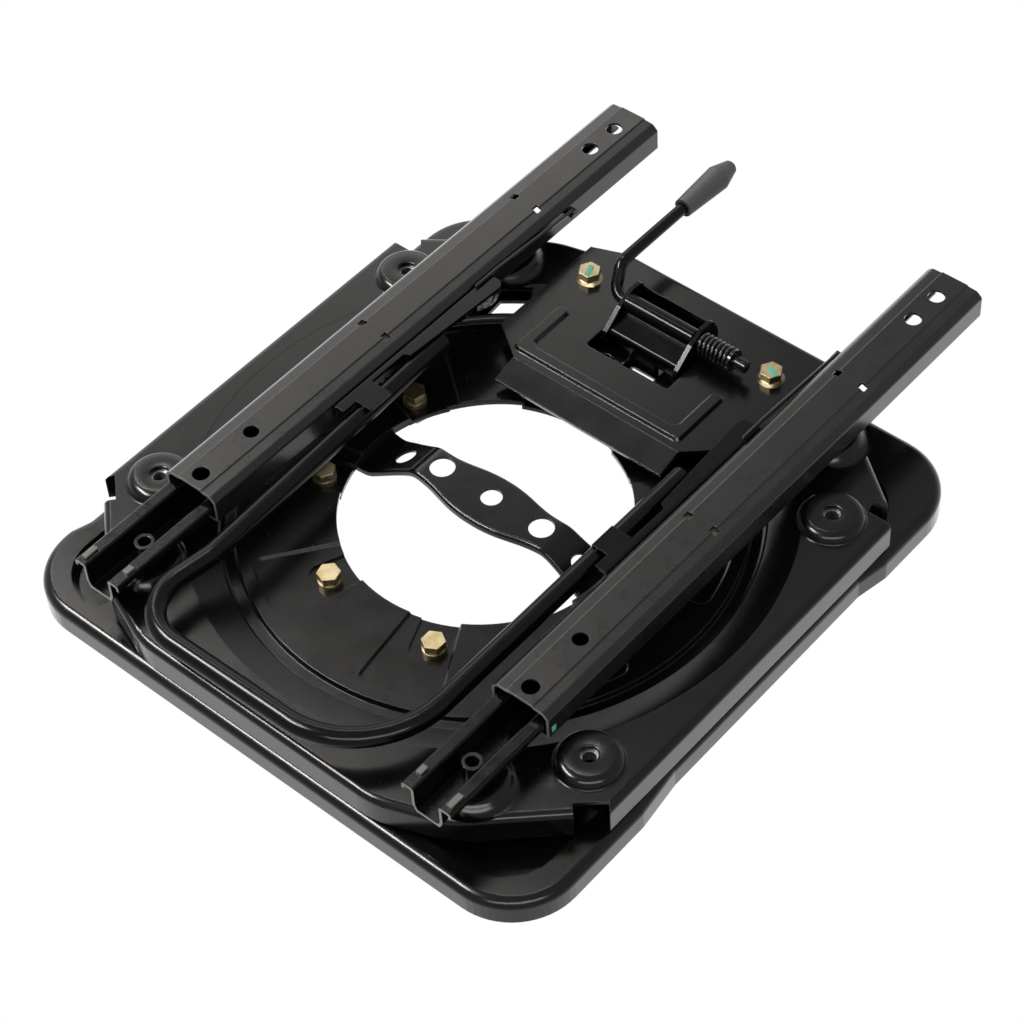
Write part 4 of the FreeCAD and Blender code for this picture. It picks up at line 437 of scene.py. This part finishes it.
# Drawn shoulders of the four seat bosses and the four rail pads; the plate's own are plain cones.
# A boss goes down again into its threaded hole, and a pad ends under its rail.
boss_x, boss_y = 170, 113.5
boss_rings = [
    (21.6, 40.54), (21.1, 40.7), (20.7, 41.3), (20.4, 42.3), (20.0, 43.5),
    (19.4, 44.7), (18.5, 45.8), (17.3, 46.6), (16.0, 47.15), (14.6, 47.35),
    (6.6, 47.35), (5.8, 47.2), (5.4, 46.6), (5.4, 45.4),
]
pad_x, pad_y = 128.9, 164.3
pad_rings = [
    (28, 40.54), (26, 40.6), (24.6, 40.9), (23.3, 41.6), (22.1, 42.7),
    (21.0, 44.0), (19.9, 45.3), (18.6, 46.2), (17.2, 46.76), (16.0, 46.79),
]
for side, x in (("left", -1), ("right", 1)):
    for end, y in (("front", -1), ("rear", 1)):
        drawn_round(f"{side}_{end}_boss_shoulder", (x * boss_x, y * boss_y), boss_rings)
        drawn_round(f"{side}_{end}_pad_shoulder", (x * pad_x, y * pad_y), pad_rings)

# Flat of the plate outside the left rail, where the round dish stops short in the photograph.
flat_radius = 189.6 * MM
flat_height = 40.44 * MM
flat_side = -141 * MM
flat_gauge = 2.4 * MM
bpy.ops.mesh.primitive_circle_add(
    vertices=160, radius=flat_radius, fill_type="NGON", location=(0, 0, flat_height))
flat = bpy.context.active_object
bpy.ops.object.transform_apply(location=True, rotation=True, scale=True)
bpy.ops.object.mode_set(mode="EDIT")
bpy.ops.mesh.select_all(action="SELECT")
bpy.ops.mesh.bisect(plane_co=(flat_side, 0, 0), plane_no=(1, 0, 0), clear_outer=True)
bpy.ops.object.mode_set(mode="OBJECT")
apply_modifier(flat, "sheet", "SOLIDIFY", thickness=flat_gauge, offset=-1)
hang(flat, "left_plate_flat", "swivel", powder_coat, angle=20)

# The strap across the opening, waved along both edges and turned down all along them. Its sizes
# are in mm, and each edge is a list of distances from the middle with the y of the edge there.
strap_reach = 111.8
strap_top = 43
slope_start = 52
slope_run = 36
slope_drop = 22.5
strap_front = [
    (0, -22.0), (12, -21.4), (22, -19.6), (32, -16.6), (42, -14.4),
    (54, -13.4), (66, -13.8), (80, -15.8), (96, -17.6), (112, -18),
]
strap_rear = [
    (0, 17.4), (12, 16.7), (22, 14.8), (32, 12.4), (42, 11.9),
    (54, 12.5), (66, 13.8), (80, 16.6), (96, 18.6), (112, 19),
]
turned_depth = 5
turned_radius = 2.2
strap_gauge = 1.5
strap_holes = ((0, 6.8), (-39.5, 8), (39.5, 8), (-70.5, 6.5), (70.5, 6.5))


def wave(points, x):
    """Edge of the strap at a distance from the middle, softened over a few millimetres."""
    shifts = range(-8, 9, 2)
    total = 0
    for shift in shifts:
        at = min(abs(x + shift), strap_reach)
        for (near, low), (far, high) in zip(points, points[1:]):
            if near <= at <= far:
                total += low + (high - low) * (at - near) / (far - near)
                break
    return total / len(shifts)


def strap_height(x):
    """Height of the strap at a distance from the middle, with both bends rounded."""
    steps = [min(max(abs(x) + k - slope_start, 0), slope_run) for k in (-3, -1, 1, 3)]
    return strap_top - sum(steps) / len(steps) * slope_drop / slope_run


bpy.ops.mesh.primitive_grid_add(x_subdivisions=112, y_subdivisions=1, size=2)
strap = bpy.context.active_object
mesh = strap.data
for vertex in mesh.vertices:
    x = vertex.co.x * strap_reach
    y = wave(strap_front if vertex.co.y < 0 else strap_rear, x)
    vertex.co = (x * MM, y * MM, strap_height(x) * MM)
mesh.polygons.foreach_set("select", [False] * len(mesh.polygons))
mesh.vertices.foreach_set("select", [False] * len(mesh.vertices))
for edge in mesh.edges:
    first, second = (mesh.vertices[k].co for k in edge.vertices)
    edge.select = first.y * second.y > 0
bpy.context.tool_settings.mesh_select_mode = (False, True, False)
bpy.ops.object.mode_set(mode="EDIT")
bpy.ops.mesh.extrude_region_move(TRANSFORM_OT_translate={"value": (0, 0, -turned_depth * MM)})
bpy.ops.mesh.select_all(action="SELECT")
bpy.ops.mesh.normals_make_consistent(inside=False)
bpy.ops.object.mode_set(mode="OBJECT")
apply_modifier(strap, "turned_edge", "BEVEL", width=turned_radius * MM, segments=4,
               limit_method="ANGLE", angle_limit=math.radians(60))
apply_modifier(strap, "sheet", "SOLIDIFY", thickness=strap_gauge * MM, offset=-1)
for x, radius in strap_holes:
    bpy.ops.mesh.primitive_cylinder_add(
        vertices=48, radius=radius * MM, depth=60 * MM, location=(x * MM, 0, 30 * MM))
    punch = bpy.context.active_object
    select_only(strap)
    apply_modifier(strap, "hole", "BOOLEAN", operation="DIFFERENCE", object=punch)
    bpy.data.objects.remove(punch)
hang(strap, "waved_strap", "swivel", powder_coat, angle=35)
apply_modifier(strap, "flat_faces_lead", "WEIGHTED_NORMAL", keep_sharp=True, weight=100)
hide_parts("opening_strap")


def seen_by(tree, rays):
    """One for the named kinds of ray, nothing for the others."""
    path = add(tree, "ShaderNodeLightPath", {}).outputs
    found = 0.0
    for ray in rays:
        most = add(tree, "ShaderNodeMath", {0: path[ray], 1: found}, operation="MAXIMUM")
        found = most.outputs["Value"]
    return found


# Plain pale floor just below the object; the camera and gloss see it as white.
bpy.ops.mesh.primitive_plane_add(size=8, location=(0, 0, -0.5 * MM))
floor = bpy.context.active_object
floor.name = "floor"
floor_paint, tree = new_material("pale_floor")
diffuse = add(tree, "ShaderNodeBsdfDiffuse", {"Color": linear("e6e6e6")})
white = add(tree, "ShaderNodeEmission", {"Color": linear("ffffff"), "Strength": 1.0})
mixed = add(tree, "ShaderNodeMixShader", {
    "Fac": seen_by(tree, ("Is Camera Ray", "Is Glossy Ray")),
    1: diffuse.outputs["BSDF"],
    2: white.outputs["Emission"],
})
add(tree, "ShaderNodeOutputMaterial", {"Surface": mixed.outputs["Shader"]})
floor.data.materials.append(floor_paint)

# White studio all round, and half as much plain light on the object.
world = bpy.data.worlds.new("studio")
bpy.context.scene.world = world
world.use_nodes = True
tree = world.node_tree
tree.nodes.clear()
level = add(tree, "ShaderNodeMapRange", {
    "Value": seen_by(tree, ("Is Camera Ray", "Is Glossy Ray", "Is Transmission Ray")),
    "To Min": 0.5,
    "To Max": 1.0,
})
studio = add(tree, "ShaderNodeBackground", {
    "Color": linear("ffffff"),
    "Strength": level.outputs["Result"],
})
add(tree, "ShaderNodeOutputWorld", {"Surface": studio.outputs["Background"]})

warm_white = (1.0, 0.975, 0.94)


def softbox(name, place, along, width, height, power, gloss_only=False):
    """Area lamp that looks at the middle of the object, with its long side along a direction."""
    lamp = bpy.data.lights.new(name, "AREA")
    lamp.shape = "RECTANGLE"
    lamp.size = width
    lamp.size_y = height
    lamp.energy = power
    lamp.color = warm_white
    holder = bpy.data.objects.new(name, lamp)
    bpy.context.scene.collection.objects.link(holder)
    backward = Vector(place).normalized()
    across = Vector(along)
    across = (across - backward * across.dot(backward)).normalized()
    holder.matrix_world = standing(place, across, backward.cross(across), backward)
    holder.visible_diffuse = not gloss_only


# One broad box lights the object, and three strips draw the lines on its bends.
softbox("key_box", (-1.3, 0.8, 1.05), (1, 1, 0), 1.4, 0.7, 8)
softbox("top_strip", (-1.0, 0.52, 1.88), (1, 0, 0), 1.5, 0.08, 15, gloss_only=True)
softbox("front_strip", (-1.0, -0.9, 1.74), (1, -1, 0), 1.4, 0.25, 150, gloss_only=True)
softbox("near_strip", (1.3, -1.4, 1.2), (1, 1, 0), 2.4, 0.4, 60, gloss_only=True)

bpy.context.scene.view_settings.view_transform = "Standard"
